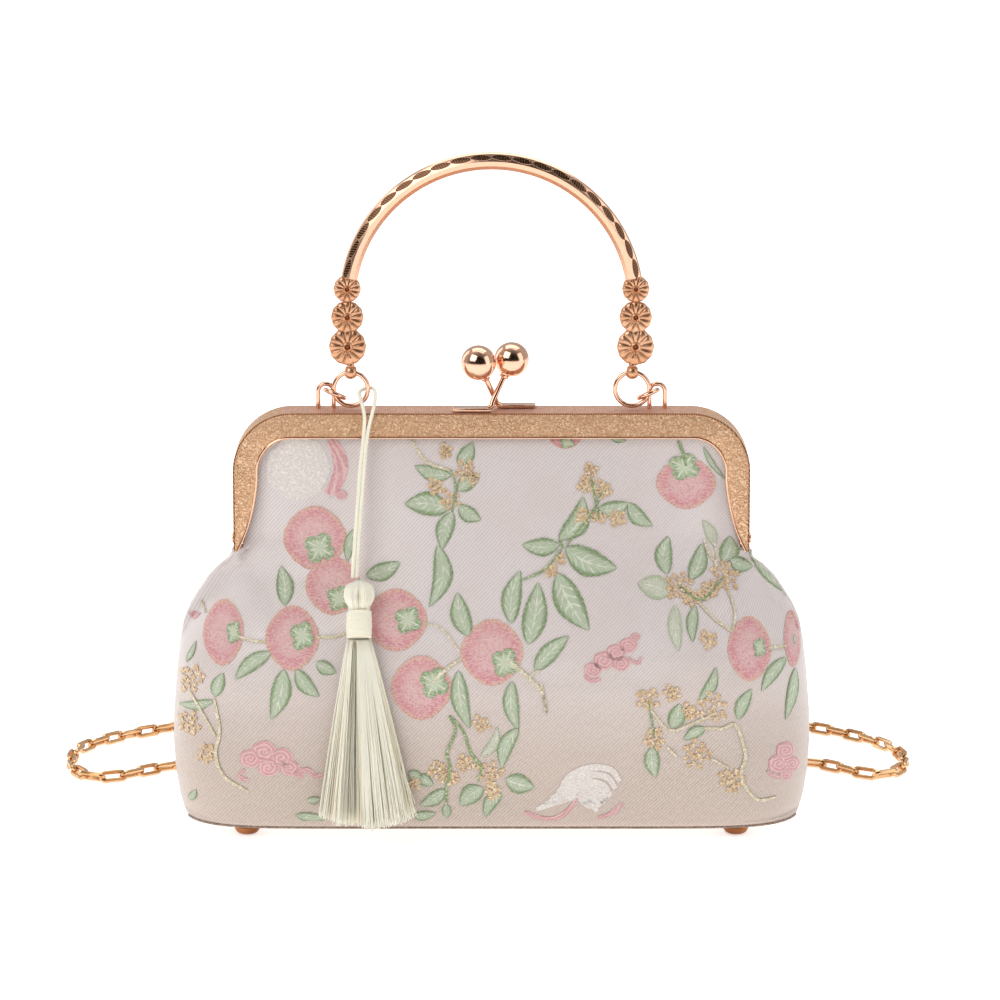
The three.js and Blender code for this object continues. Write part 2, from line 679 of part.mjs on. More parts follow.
function tasselWrap() {
  const waistY = -panelAt(tasselX, tasselWaist) - tasselWrapRadius - 3 * clearance;
  const headY = -panelAt(tasselX, tasselHeadTop - tasselHeadRadius) - tasselHeadRadius - 5 * clearance;
  const inner = tasselWrapRadius - tasselWrapWall;
  const half = tasselWrapHeight / 2 - 0.6;
  const profile = [
    [inner, -half], [0.94 * tasselWrapRadius, -half], [tasselWrapRadius, 0.7 - half],
    [0.9 * tasselWrapRadius, 0], [tasselWrapRadius, half - 0.7], [0.94 * tasselWrapRadius, half], [inner, half],
    [inner, -half],
  ];
  const band = new THREE.LatheGeometry(profile.map(([r, z]) => new THREE.Vector2(r, z)), 14);
  const headMiddle = tasselHeadTop - tasselHeadRadius;
  const lean = Math.atan2(headY - waistY, headMiddle - tasselWaist);
  band.rotateX(Math.PI / 2 - lean);
  const along = 0.36;
  return band.translate(tasselX, mix(waistY, headY, along), mix(tasselWaist, headMiddle, along));
}

const purse = new THREE.Group();
const add = (name, geometry, material) => purse.add(named(name, geometry, material));

add('bag_body', bagBody(), fabric('brocade', 0xd9cdca, 0.55));
add('front_jaw', frontJaw(), metal('embossed_gold', 0xcda078, 0.4));
add('rear_jaw', rearJaw(), metal('embossed_gold', 0xcda078, 0.4));
add('lock_front', lockHalf(frontPlateX, rightBallX, -1), metal('polished_gold', 0xd8a888, 0.15));
add('lock_rear', lockHalf(rearPlateX, leftBallX, 1), metal('polished_gold', 0xd8a888, 0.15));
add('handle_arch', handleArch(), metal('polished_gold', 0xd8a888, 0.2));
for (const [word, side] of [['left', -1], ['right', 1]]) {
  add(`hinge_rivet_${word}`, hingeRivet(side), metal('polished_gold', 0xd8a888, 0.3));
  add(`handle_terminal_${word}`, handleTerminal(side), metal('cast_gold', 0xcd9a78, 0.3));
  add(`ring_big_${word}`, bigRing(side), metal('polished_gold', 0xd8a888, 0.2));
  add(`ring_small_${word}`, smallRing(side), metal('polished_gold', 0xd8a888, 0.2));
  add(`chain_end_link_${word}`, endLink(side), metal('chain_gold', 0xc89a66, 0.3));
  add(`foot_front_${word}`, foot(side * footX, -footY), metal('foot_bronze', 0x8a5a30, 0.4));
  add(`foot_rear_${word}`, foot(side * footX, footY), metal('foot_bronze', 0x8a5a30, 0.4));
}
add('tassel', tasselBody(), fabric('tassel_silk', 0xe8e0c4, 0.6));
add('tassel_wrap', tasselWrap(), fabric('tassel_silk', 0xe8e0c4, 0.5));
add('tassel_cord', wireAlong(cordRoute, cordRadius, 8, 38), fabric('tassel_silk', 0xe8e0c4, 0.5));
add('shoulder_chain', wireAlong(chainPath(), chainRadius, 8, 76), metal('chain_gold', 0xc89a66, 0.3));

// The origin lies on the floor under the middle of the purse and its chain, without the tassel.
purse.updateMatrixWorld(true);
const extent = new THREE.Box3();
for (const mesh of purse.children) {
  if (!mesh.name.startsWith('tassel')) extent.expandByObject(mesh, true);
}
const middle = extent.getCenter(new THREE.Vector3());
purse.position.set(-middle.x, -middle.y, -extent.min.z);

export default purse;
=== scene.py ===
"""Looks of the embroidered clasp purse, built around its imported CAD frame."""

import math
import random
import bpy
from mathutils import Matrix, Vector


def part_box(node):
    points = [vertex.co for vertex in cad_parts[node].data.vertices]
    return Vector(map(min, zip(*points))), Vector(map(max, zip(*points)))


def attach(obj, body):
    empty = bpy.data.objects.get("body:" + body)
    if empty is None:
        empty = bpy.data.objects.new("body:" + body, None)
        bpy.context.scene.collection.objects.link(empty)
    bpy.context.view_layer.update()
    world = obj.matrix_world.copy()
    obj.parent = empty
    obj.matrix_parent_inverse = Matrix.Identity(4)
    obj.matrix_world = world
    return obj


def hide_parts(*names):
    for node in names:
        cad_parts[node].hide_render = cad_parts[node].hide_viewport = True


bl_info = {
    "name": "Embroidered Clasp Purse",
    "version": (1, 0, 0),
    "blender": (4, 5, 0),
    "location": "View3D > Sidebar > Purse",
    "description": "Builds the brocade purse with its clasp frame, handle, chain and tassel",
    "category": "Object",
}

import bpy
import numpy as np
from mathutils import Matrix, Vector

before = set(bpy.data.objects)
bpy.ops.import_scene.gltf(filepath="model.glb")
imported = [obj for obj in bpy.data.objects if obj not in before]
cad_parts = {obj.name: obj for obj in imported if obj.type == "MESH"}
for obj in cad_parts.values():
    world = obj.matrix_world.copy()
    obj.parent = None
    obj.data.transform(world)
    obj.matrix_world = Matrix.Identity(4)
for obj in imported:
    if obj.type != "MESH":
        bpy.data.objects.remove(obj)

MM = 0.001
JAW_LOW, JAW_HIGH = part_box("front_jaw")
FRAME_HALF_DEPTH = 8.0
HOME = Vector(((JAW_LOW[0] + JAW_HIGH[0]) / 2, JAW_LOW[1] + FRAME_HALF_DEPTH * MM, 0))

# Sizes of the bag and its frame, in millimetres from the bag's own middle on the floor.
FRAME_HALF = 100.0
FRAME_TOP = 162.7
FRAME_WALL = 1.2
FACE_BOTTOM = 152.7
LEG_TIP = 108.3
LEG_WIDTH = 9.7
LEG_TIP_WIDTH = 0.6
CORNER_RADIUS = 23.0
CORNER_X = FRAME_HALF - CORNER_RADIUS
CORNER_Z = FRAME_TOP - CORNER_RADIUS
JAW_GAP = 0.3
HINGE_HEIGHT = 112.0
CLEARANCE = 0.3
RIVET_RADIUS = 1.0
RIVET_HEAD_RADIUS = 1.9
RIVET_HEAD = 0.7
LUG_RADIUS = 2.6
BAG_HALF_WIDTH = 124.6
BAG_HALF_DEPTH = 41.0
BAG_BASE = 4.8
BAG_SHOULDER = 107.7
SHOULDER_REACH = 9.0
BAG_TOP = 161.2
BAG_FRAME_HALF = 96.7
MOUTH_HALF = 5.6
BAG_WALL = 2.0
EDGE_INSET = 4.0
HANDLE_RADIUS = 55.6
HANDLE_CENTRE = 204.2
BALL_EYE_HEIGHT = 177.5
BIG_RING_X = 54.4
BIG_RING_RADIUS = 6.6
SMALL_RING_RADIUS = 3.95
SMALL_RING_PLACE = (60.67, 1.52, 168.66)
SMALL_RING_AXIS = (-0.394, 0.171, 0.903)
RING_WIRE = 0.9
STAPLE_X = 64.2
STAPLE_Y = 3.2
STAPLE_HALF = 3.0
STAPLE_TOP = 169.4
EYE_X = 60.0
EYE_HEIGHT = 157.0
EYE_RADIUS = 3.6
EYE_SINK = 0.4
NECK_PROFILE = [(0, -2.2), (1.3, -2.2), (1.5, -1.2), (1.2, -0.3), (1.6, 0.8), (1.9, 2.0), (0, 2.0)]
LOCK_BALL_HEIGHT = 181.8
LOCK_BALL_RADIUS = 6.8
LOCK_MEETING_X = 1.0
LOCK_BALL_Y = 3.5
LOCK_WIRE = 1.05
LOCK_PLATE = (7.4, 2.6, 1.3)  # half width, half depth, thickness
LOCK_HALVES = (  # piece, node, middle of the plate, middle of the ball, way from the bag's middle
    ("lock_front_half", "lock_front", -7.5, 7.8, -1),
    ("lock_rear_half", "lock_rear", 9.7, -5.05, 1),
)
COLLAR_PROFILE = [(1.2, -1.2), (1.75, -1.0), (1.9, -0.5), (1.6, -0.2), (2.1, 0.3), (2.35, 1.0), (1.2, 1.6)]

FOOT_X = 95
FOOT_Y = 25
FOOT_PROFILE = [
    (0, 0), (2.6, 0), (3.4, 0.15), (4.2, 0.7), (4.8, 1.6),
    (5, 2.5), (4.85, 3.4), (4.4, 4.2), (4.2, 4.8), (0, 4.8),
]

LINK_WIRE = 1.8
LINK_WIDTH = 5.4
LINK_OVERLAP = 3.6  # a link's length past the pitch

CAMERA_LENS = 167.4
CAMERA_PLACE = (3.29, -1768.67, 502.91)
CAMERA_TILT = 78

TASSEL_X = -50.6
TASSEL_HEAD_TOP = 102.9
TASSEL_HEAD_RADIUS = 5.7
TASSEL_WAIST = 80.3
TASSEL_HEM = 11.0
CORD_DIAMETER = 1.4

# Rise, half width and half depth of the bag below the frame, as shares.
BAG_SECTIONS = np.array([
    (0, 0.967, 0.94), (0.075, 0.984, 0.965), (0.167, 0.995, 0.985), (0.274, 1, 1),
    (0.39, 0.998, 1), (0.536, 0.988, 0.985), (0.653, 0.977, 0.95), (0.731, 0.965, 0.905),
    (0.789, 0.944, 0.86), (0.847, 0.914, 0.8), (0.896, 0.886, 0.75), (0.935, 0.853, 0.705),
    (0.974, 0.815, 0.665),
])

# Small folds of the cloth: x, z, reach across, reach up, lean, rise.
FOLDS = [
    (-97, 100, 5, 20, 0.55, 1.3), (97, 100, 5, 20, -0.55, 1.3), (-88, 96, 6, 15, 0.25, -1.1),
    (88, 96, 6, 15, -0.25, -1.1), (-106, 84, 5, 18, 0.75, -0.9), (106, 84, 5, 18, -0.75, -0.9),
    (-112, 40, 7, 26, -0.15, -0.7), (113, 46, 7, 24, 0.2, -0.8), (-20, 62, 60, 30, 0, 0.5),
    (60, 34, 34, 12, 0.2, -0.6), (10, 22, 50, 9, 0, -0.5), (-70, 128, 8, 16, 0.3, 0.35),
    (74, 126, 8, 16, -0.3, 0.35),
]

CORD_ROUTE = [
    (-51.6, -34.6, 103.9), (-51.4, -31.6, 108.5), (-51.0, -28.2, 116), (-50.4, -24.3, 125),
    (-49.7, -20.2, 134), (-49.0, -15.9, 143), (-48.3, -12.0, 151), (-47.4, -9.9, 157),
    (-46.4, -9.1, 161.2), (-45.5, -8.1, 164.6), (-45.0, -6.0, 167.2), (-44.9, -3.2, 169.2),
    (-45.3, 0.2, 170.6), (-46.9, 2.6, 170.9), (-49.2, 2.8, 170.5), (-50.8, 0.9, 169.8),
    (-51.0, -2.0, 168.9), (-50.4, -5.0, 167.3), (-49.5, -7.7, 165.0), (-48.9, -9.3, 161.2),
    (-49.1, -10.0, 157), (-49.6, -12.2, 151), (-50.5, -16.1, 143), (-51.1, -20.4, 134),
    (-51.8, -24.5, 125), (-52.4, -28.4, 116), (-52.9, -31.8, 108.5), (-53.1, -34.6, 103.9),
]

CHAIN_ROUTE = [
    (-60, 12.8, 147.8), (-60, 17.5, 137), (-60, 22, 126), (-60, 27.5, 112), (-60.5, 33, 97),
    (-61, 39, 82), (-62, 43.5, 64), (-63, 45.5, 45), (-65, 46.5, 26), (-68, 48.5, 11),
    (-75, 52, 3.2), (-86, 56.5, 2.2), (-101, 63, 2.2), (-117, 68, 2.2), (-131, 65, 2.2),
    (-141, 58, 2.2), (-149, 51.5, 2.2), (-157.5, 48.5, 2.2), (-165, 52, 2.2), (-170, 61, 2.2),
    (-172.3, 73, 2.2), (-171.5, 87, 2.2), (-167, 99, 2.2), (-157, 111, 2.2), (-145, 120.5, 2.2),
    (-130, 129.5, 2.2), (-110, 136, 2.2), (-80, 140, 2.2), (-40, 142, 2.2), (0, 142.5, 2.2),
    (40, 142, 2.2), (80, 140, 2.2), (110, 136, 2.2), (130, 129.5, 2.2), (145, 119, 2.2),
    (157, 107, 2.2), (165, 94, 2.2), (168.8, 79, 2.2), (167.5, 65, 2.2), (163, 56, 2.2),
    (156, 52.5, 2.2), (148.5, 56, 2.2), (141, 63, 2.2), (131, 70, 2.2), (117, 71, 2.2),
    (101, 65, 2.2), (86, 57.5, 2.2), (75, 52, 3.2), (68, 48.5, 11), (65, 46.5, 26),
    (63, 45.5, 45), (62, 43.5, 64), (61, 39, 82), (60.5, 33, 97), (60, 27.5, 112),
    (60, 22, 126), (60, 17.5, 137), (60, 12.8, 147.8),
]

# The pattern's chart, in the drawing's own units: CHART_STEP millimetres each, from CHART_ORIGIN.
CHART_ORIGIN = (491.5, 837.0)
CHART_STEP = 0.387

# Leaves: base, tip, half width, sideways bow.
LEAVES = [
    ((286, 605), (281, 566), 9, 2), ((273, 651), (237, 678), 8, 3), ((286, 668), (273, 718), 10, -3),
    ((298, 668), (321, 695), 8, 3), ((318, 661), (338, 671), 7, 1), ((367, 576), (401, 562), 9, 2),
    ((356, 528), (348, 562), 6, 2), ((216, 696), (225, 672), 7, -1), ((215, 700), (178, 704), 5, -3),
    ((186, 662), (196, 641), 3, 1), ((451, 476), (415, 466), 8, -3), ((449, 509), (405, 504), 12, 3),
    ((458, 464), (473, 443), 8, 2), ((458, 490), (479, 478), 8, -2), ((458.8, 506), (481, 520), 8, 2),
    ((452.7, 512), (442.4, 549), 9, 3), ((438.4, 545), (430, 606), 10, -9),
    ((559, 540), (583, 497), 11, 8), ((599, 509), (628, 503), 9, 4), ((628, 503), (652, 526), 8, 4),
    ((558.8, 545), (522, 545), 9, -2), ((565, 548), (616, 568), 14, 5), ((557, 573), (588, 629), 14, 4),
    ((534, 669), (568, 634.7), 9, -2), ((469, 634.7), (457.8, 591.8), 10, -3),
    ((510.8, 622.4), (520, 570.4), 10, -4), ((528, 643), (538, 582), 12, 2),
    ((458.8, 669), (470, 726.5), 9, 4), ((511.8, 679.6), (518, 728.6), 8, 4),
    ((518, 726), (501.6, 767), 8, 5), ((420, 773), (434, 784), 6, 1), ((446.5, 788), (420, 804), 7, -2),
    ((483, 786), (460, 804), 10, 2), ((505.7, 777.6), (534, 785.7), 10, 1),
    ((501.6, 792), (485, 816), 7, 4), ((446.5, 803), (447, 817), 5, 0),
    ((666, 574), (668, 536), 9, -4), ((690, 580), (702, 544), 9, 3), ((694, 605), (691, 641), 6, 2),
    ((724, 562), (731, 536), 10, 3), ((731, 560), (754, 567), 8, 2), ((785, 657), (760, 690), 7, 2),
    ((795, 668), (785, 719), 6, -2), ((750, 546), (791, 595), 6, 3), ((698, 698), (714, 666), 6, 4),
    ((670, 726), (678, 702), 9, 2), ((704, 726), (682, 738), 6, 1), ((651, 745), (655, 776), 8, 2),
    ((736, 718), (750, 688), 7, -2), ((703, 447), (725, 479), 3, 2), ((308, 799), (322, 797), 4, 1),
    ((296, 814), (328, 817), 5, 1), ((409, 771), (424, 776), 6, 1), ((413, 815), (436, 812), 5, 1),
    ((188, 800), (196, 790), 4, 1), ((610, 434), (626, 441), 5, 1), ((252, 470), (246, 500), 5, 2),
]
PALE_LEAVES = [
    ((668, 593), (637, 583), 12, 2), ((674, 605), (677, 650), 7, 2), ((715, 546), (703, 520), 6, 2),
    ((481, 755), (497.5, 724.5), 5, 5),
]

# Persimmons: middle, half width, half height, calyx middle, calyx radius.
PERSIMMONS = [
    ((224, 632), 21, 32.6, (235, 632), 12), ((294, 637), 27, 32, (304, 635), 15),
    ((315, 538), 32, 32, (320, 548), 16), ((334, 585), 28, 29, (340, 598), 13),
    ((397, 619), 31, 31, (409, 619), 14), ((422, 686), 30, 32, (435, 681), 16),
    ((492, 651), 31, 33, (505, 661), 15), ((748, 648), 22, 32, (758, 647), 10),
    ((793, 639), 9, 28, (795, 640), 5), ((686, 483), 30, 26, (684, 467), 14),
    ((565, 436), 17, 13, (567, 443), 6),
]

# Osmanthus clusters: middle, radius.
CLUSTERS = [
    ((192, 678), 16), ((190, 723), 14), ((209, 754), 12), ((446, 452), 8), ((465, 471), 12),
    ((451, 500), 11), ((436, 486), 9), ((591, 471), 8), ((587, 485), 10), ((603, 489), 11),
    ((585, 516), 10), ((616, 518), 9), ((599, 518), 6), ((550.6, 569), 7), ((561, 559), 5),
    ((678, 585), 16), ((724, 577), 18), ((692, 597), 10), ((708, 591), 10), ((706, 639), 9),
    ((647, 698), 14), ((670, 692), 9), ((710, 706), 18), ((688, 710), 9), ((653, 736), 13),
    ((696, 753), 17), ((730, 779), 15), ((438.4, 767), 11), ((450.6, 775.5), 10), ((466, 761), 10),
    ((489.4, 771.4), 15), ((493.5, 790), 8), ((481, 722), 9), ((415, 783), 6), ((473, 478), 7),
]

# Cream twigs and green stems: points and half width.
TWIGS = [
    (((216, 698), (221, 730), (217, 753), (225, 775), (249, 790)), 1.7),
    (((239, 636), (254, 640), (268, 641)), 1.5), (((318, 636), (334, 636), (348, 632)), 1.4),
    (((199, 601), (205, 613)), 1.2), (((411, 440), (427, 462), (451, 471)), 1.5),
    (((541, 682), (546, 712)), 1.4), (((704, 540), (710, 555), (718, 566)), 1.4),
    (((714, 540), (717, 556), (715, 570)), 1.2), (((698, 603), (715, 620), (730, 631)), 1.3),
    (((728, 591), (734, 612), (731, 631)), 1.2), (((767, 648), (785, 646)), 1.4),
    (((702, 726), (720, 727), (734, 724), (744, 753), (740, 775), (755, 798), (776, 797)), 1.7),
    (((676, 755), (666, 745)), 1.2), (((710, 757), (728, 767)), 1.2),
    (((507.8, 658), (530, 677.5), (542.4, 692), (545.5, 712)), 1.9),
    (((432, 681), (446, 668), (462, 657)), 1.6), (((529, 675), (538, 668)), 1.1),
    (((425, 622), (443, 628), (460, 650)), 0.9), (((190, 690), (205, 715), (217, 735)), 1.3),
    (((647, 705), (668, 728), (690, 722), (712, 712)), 1.3),
]
STEMS = [
    (((449.6, 714), (455.7, 728.6), (447.5, 751), (450.6, 767), (447, 785), (446.5, 803)), 1.4),
    (((450.6, 714), (463, 728.6), (471, 751), (481, 765), (478, 780)), 1.4),
    (((522, 579.6), (544.5, 569), (560.8, 549)), 1.1), (((451, 470), (456, 490), (452, 512)), 1.2),
    (((686, 466), (682, 452), (678, 441)), 1.6), (((591, 478), (595, 500), (599, 520)), 1.1),
    (((562, 548), (559, 540)), 1.4), (((678, 585), (700, 600), (724, 577)), 1.1),
    (((647, 698), (653, 736)), 1.0), (((603, 489), (592, 512), (565, 546)), 1.0),
]

# Cloud lobes: middle, radius, and tails: points and half width.
CLOUD_LOBES = [
    ((252, 757), 11), ((266, 750), 13), ((283, 756), 12), ((270, 766), 11), ((291, 766), 10),
    ((301, 772), 6), ((592, 668), 9), ((603, 659), 11), ((615, 651), 10), ((627, 644), 9),
    ((620, 662), 9), ((634, 636), 5), ((785, 750), 10), ((778, 763), 11), ((792, 764), 9),
    ((786, 774), 7), ((192, 615), 4), ((342, 495), 6),
]
CLOUD_TAILS = [
    (((296, 770), (309, 768), (316, 774), (325, 774)), 2.4), (((584, 674), (590, 679), (600, 677)), 2),
    (((627, 656), (636, 662), (640, 656)), 1.8), (((766, 770), (773, 775), (780, 777)), 2),
    (((186, 612), (192, 619), (199, 613)), 1.2), (((246, 768), (240, 775), (250, 779)), 2),
    (((331, 440), (339, 455), (341, 470), (336, 484), (328, 494)), 7),
    (((525, 811), (541, 817), (556, 817), (569, 808), (577, 797)), 2.4),
    (((598, 817), (612, 812), (622, 802)), 2.2),
]
PALE_LOBES = [
    ((298, 468), 33), ((592, 793), 15),
]
PALE_PLUMES = [
    (((561, 786), (570, 774), (590, 766), (610, 768), (619, 780)), 3.4),
    (((557, 791), (570, 781), (590, 773), (607, 776), (615, 787)), 3.4),
    (((551, 797), (568, 787), (588, 780), (603, 784), (610, 795)), 3.4),
    (((545, 803), (562, 794), (582, 788), (597, 793), (604, 803)), 3.4),
    (((536, 808), (556, 801), (574, 796), (588, 801), (597, 810)), 3.2),
]


def clamp(value, low=0.0, high=1.0):
    return max(low, min(high, value))


def blend(a, b, share):
    return a + (b - a) * share


def smoothstep(value, low, high):
    t = clamp((value - low) / (high - low))
    return t * t * (3 - 2 * t)


def to_row(point):
    """A point in bag millimetres as a point in the row frame."""
    return HOME + Vector(point[:3]) * MM


def srgb(red, green, blue):
    """A linear colour from 0 to 255 screen values."""
    linear = []
    for value in (red, green, blue):
        share = value / 255
        linear.append(share / 12.92 if share <= 0.04045 else ((share + 0.055) / 1.055) ** 2.4)
    return (*linear, 1.0)


# Shape of the bag


def bag_size(z):
    """Half width and half depth of the bag at a height."""
    share = (z - BAG_BASE) / (BAG_SHOULDER - BAG_BASE)
    if share < 1:
        width = np.interp(share, BAG_SECTIONS[:, 0], BAG_SECTIONS[:, 1])
        depth = np.interp(share, BAG_SECTIONS[:, 0], BAG_SECTIONS[:, 2])
        return BAG_HALF_WIDTH * width, BAG_HALF_DEPTH * depth
    radius = CORNER_RADIUS - (FRAME_HALF - BAG_FRAME_HALF)
    rise = clamp((z - CORNER_Z) / radius)
    width = BAG_FRAME_HALF - radius + radius * math.sqrt(1 - rise * rise)
    slope = clamp((FACE_BOTTOM - 0.3 - z) / (FACE_BOTTOM - BAG_SHOULDER))
    return width, blend(MOUTH_HALF, BAG_HALF_DEPTH * 0.64, slope)


def bag_depth(share, z):
    """Distance of the front panel from the bag's middle plane."""
    depth = bag_size(z)[1]
    s = min(abs(share), 1)
    in_frame = smoothstep(z, 0.6 * BAG_SHOULDER, BAG_SHOULDER)
    squareness = blend(10, 6, smoothstep(z, BAG_BASE, 0.5 * BAG_SHOULDER))
    fullness = blend(squareness, 2.6, in_frame)
    rounding = blend(0.5, 1.15, in_frame)
    span = blend(1, 0.985 * (FRAME_HALF - LEG_WIDTH) / BAG_FRAME_HALF, in_frame)
    edge = MOUTH_HALF * (1 - s ** 8) ** 0.125
    swell = (1 - min(s / span, 1) ** fullness) ** rounding
    return max(edge + (depth - MOUTH_HALF) * swell, 0)


def panel(x, z):
    """Distance of the front panel from the middle plane, with the folds of the cloth."""
    share = clamp(x / bag_size(z)[0], -1, 1)
    depth = bag_depth(share, z)
    if abs(z - BAG_SHOULDER) < SHOULDER_REACH:
        ease = 0.5 + 0.5 * math.cos(math.pi * (z - BAG_SHOULDER) / SHOULDER_REACH)
        levels = [z + SHOULDER_REACH * step for step in (-0.8, -0.4, 0, 0.4, 0.8)]
        spread = sum(bag_depth(x / bag_size(level)[0], level) for level in levels) / len(levels)
        depth = blend(depth, spread, min(1, 2 * ease))
    reach = (1 - share ** 8) * clamp((depth - MOUTH_HALF - 1.5) / 6)
    rise = 0.0
    for fold_x, fold_z, across, up, lean, height in FOLDS:
        dz = z - fold_z
        dx = x - fold_x + lean * dz
        if abs(dx) < 3 * across and abs(dz) < 3 * up:
            rise += height * math.exp(-(dx / across) ** 2 - (dz / up) ** 2)
    return depth + rise * reach


def bag_outline(z, inset, count):
    """Evenly spaced points round the bag at a height, with each one's way along the cloth."""
    half_width = bag_size(z)[0] - inset
    turns = np.linspace(0, math.pi, 360)
    shares = np.sign(np.cos(turns)) * np.abs(np.cos(turns)) ** 0.5
    depths = np.array([panel(share * half_width, z) - inset * (1 - share ** 12) for share in shares])
    line = np.column_stack([shares * half_width, -np.maximum(depths, 0)])
    steps = np.concatenate([[0], np.cumsum(np.linalg.norm(np.diff(line, axis=0), axis=1))])
    ways = np.linspace(0, steps[-1], count + 1)[:-1]
    front = np.column_stack([np.interp(ways, steps, line[:, 0]), np.interp(ways, steps, line[:, 1])])
    return np.vstack([front, -front]), np.concatenate([ways, ways + steps[-1]]) - steps[-1] / 2


def chart_place(u, v, lift, side):
    """A chart point laid on the front (side 1) or back (side -1) of the bag, lifted off the cloth."""
    x = (u - CHART_ORIGIN[0]) * CHART_STEP
    rise = (CHART_ORIGIN[1] - v) * CHART_STEP
    z = rise
    for _ in range(4):
        z = clamp((rise + 0.208 * (panel(x, z) - 30)) / 0.978, BAG_BASE + EDGE_INSET, FACE_BOTTOM + 3)
    reach = bag_size(z)[0] - 0.8
    x = clamp(x, -reach, reach)
    depth = panel(x, z)
    step = 0.6
    across = (panel(x + step, z) - panel(x - step, z)) / (2 * step)
    up = (panel(x, z + step) - panel(x, z - step)) / (2 * step)
    normal = Vector((-across, -1, -up)).normalized()
    point = Vector((x, -depth, z)) + normal * lift
    return (side * point.x, side * point.y, point.z)


# Making and joining pieces


def select_only(*objects):
    bpy.ops.object.select_all(action="DESELECT")
    for obj in objects:
        obj.select_set(True)
    bpy.context.view_layer.objects.active = objects[0]


def bake_place(obj):
    """Moves the object's place into its vertices."""
    select_only(obj)
    bpy.ops.object.transform_apply(location=True, rotation=True, scale=True)
    return obj


def apply_modifier(obj, kind, **settings):
    modifier = obj.modifiers.new(kind, kind)
    for key, value in settings.items():
        setattr(modifier, key, value)
    select_only(obj)
    bpy.ops.object.modifier_apply(modifier=modifier.name)
    return obj


def shade(obj, angle=None):
    select_only(obj)
    if angle is None:
        bpy.ops.object.shade_smooth()
    else:
        bpy.ops.object.shade_smooth_by_angle(angle=math.radians(angle))
    return obj


def fix_normals(obj, merge=None):
    select_only(obj)
    bpy.ops.object.mode_set(mode="EDIT")
    bpy.ops.mesh.select_all(action="SELECT")
    if merge:
        bpy.ops.mesh.remove_doubles(threshold=merge * MM)
    bpy.ops.mesh.normals_make_consistent(inside=False)
    bpy.ops.object.mode_set(mode="OBJECT")
    return obj


def join(name, objects):
    select_only(*objects)
    if len(objects) > 1:
        bpy.ops.object.join()
    obj = bpy.context.view_layer.objects.active
    obj.name = name
    obj.data.name = name
    return obj


def mesh_piece(name, points, faces, uvs=None, loop_uvs=None):
    """A mesh from bag points and faces, with a UV for each point or for each face corner."""
    mesh = bpy.data.meshes.new(name)
    mesh.from_pydata([to_row(point) for point in points], [], faces)
    if uvs is not None:
        loop_uvs = [uvs[index] for face in faces for index in face]
    if loop_uvs is not None:
        layer = mesh.uv_layers.new(name="UVMap")
        layer.data.foreach_set("uv", np.asarray(loop_uvs, dtype=np.float32).ravel())
    obj = bpy.data.objects.new(name, mesh)
    bpy.context.scene.collection.objects.link(obj)
    return obj


def wires(name, routes, radius, closed=False, resolution=3):
    """Round wires along bag points, made through a curve."""
    curve = bpy.data.curves.new(name, "CURVE")
    curve.dimensions = "3D"
    curve.fill_mode = "FULL"
    curve.bevel_depth = radius * MM
    curve.bevel_resolution = resolution
    curve.use_fill_caps = not closed
    for route in routes:
        spline = curve.splines.new("POLY")
        spline.points.add(len(route) - 1)
        for point, place in zip(spline.points, route):
            point.co = (*to_row(place), 1)
            point.radius = place[3] if len(place) > 3 else 1
        spline.use_cyclic_u = closed
    obj = bpy.data.objects.new(name, curve)
    bpy.context.scene.collection.objects.link(obj)
    select_only(obj)
    bpy.ops.object.convert(target="MESH")
    return shade(bpy.context.view_layer.objects.active, 40)


def plate(name, outline, low_y, high_y, bevel):
    """A flat plate of an outline in x and z, with rounded edges, between two depths."""
    curve = bpy.data.curves.new(name, "CURVE")
    curve.dimensions = "2D"
    curve.fill_mode = "BOTH"
    curve.extrude = ((high_y - low_y) / 2 - bevel) * MM
    curve.bevel_depth = bevel * MM
    curve.bevel_resolution = 2
    curve.offset = -bevel * MM
    spline = curve.splines.new("POLY")
    spline.points.add(len(outline) - 1)
    for point, (x, z) in zip(spline.points, outline):
        point.co = (x * MM, z * MM, 0, 1)
    spline.use_cyclic_u = True
    obj = bpy.data.objects.new(name, curve)
    bpy.context.scene.collection.objects.link(obj)
    select_only(obj)
    bpy.ops.object.convert(target="MESH")
    obj = bpy.context.view_layer.objects.active
    turn = Matrix.Rotation(math.radians(90), 4, "X")
    obj.data.transform(Matrix.Translation(to_row((0, (low_y + high_y) / 2, 0))) @ turn)
    fix_normals(obj, 0.001)
    return shade(obj, 30)


def lathe(name, profile, centre, turn=None, steps=48):
    """A turned body from a profile of radius and height, round the turned Z axis at a bag point."""
    mesh = bpy.data.meshes.new(name)
    edges = [(i, i + 1) for i in range(len(profile) - 1)]
    mesh.from_pydata([(r * MM, 0, z * MM) for r, z in profile], edges, [])
    obj = bpy.data.objects.new(name, mesh)
    bpy.context.scene.collection.objects.link(obj)
    apply_modifier(obj, "SCREW", steps=steps, render_steps=steps, use_merge_vertices=True,
                   merge_threshold=0.00001, use_normal_calculate=True)
    place = Matrix.Translation(to_row(centre))
    obj.data.transform(place @ turn if turn else place)
    fix_normals(obj, 0.002)
    return shade(obj, 35)


def box(name, low, high, bevel=0.2):
    bpy.ops.mesh.primitive_cube_add(size=1, location=to_row([(a + b) / 2 for a, b in zip(low, high)]))
    obj = bpy.context.active_object
    obj.name = name
    obj.scale = [(b - a) * MM for a, b in zip(low, high)]
    bake_place(obj)
    if bevel:
        apply_modifier(obj, "BEVEL", width=bevel * MM, segments=3, limit_method="ANGLE")
    return shade(obj, 30)


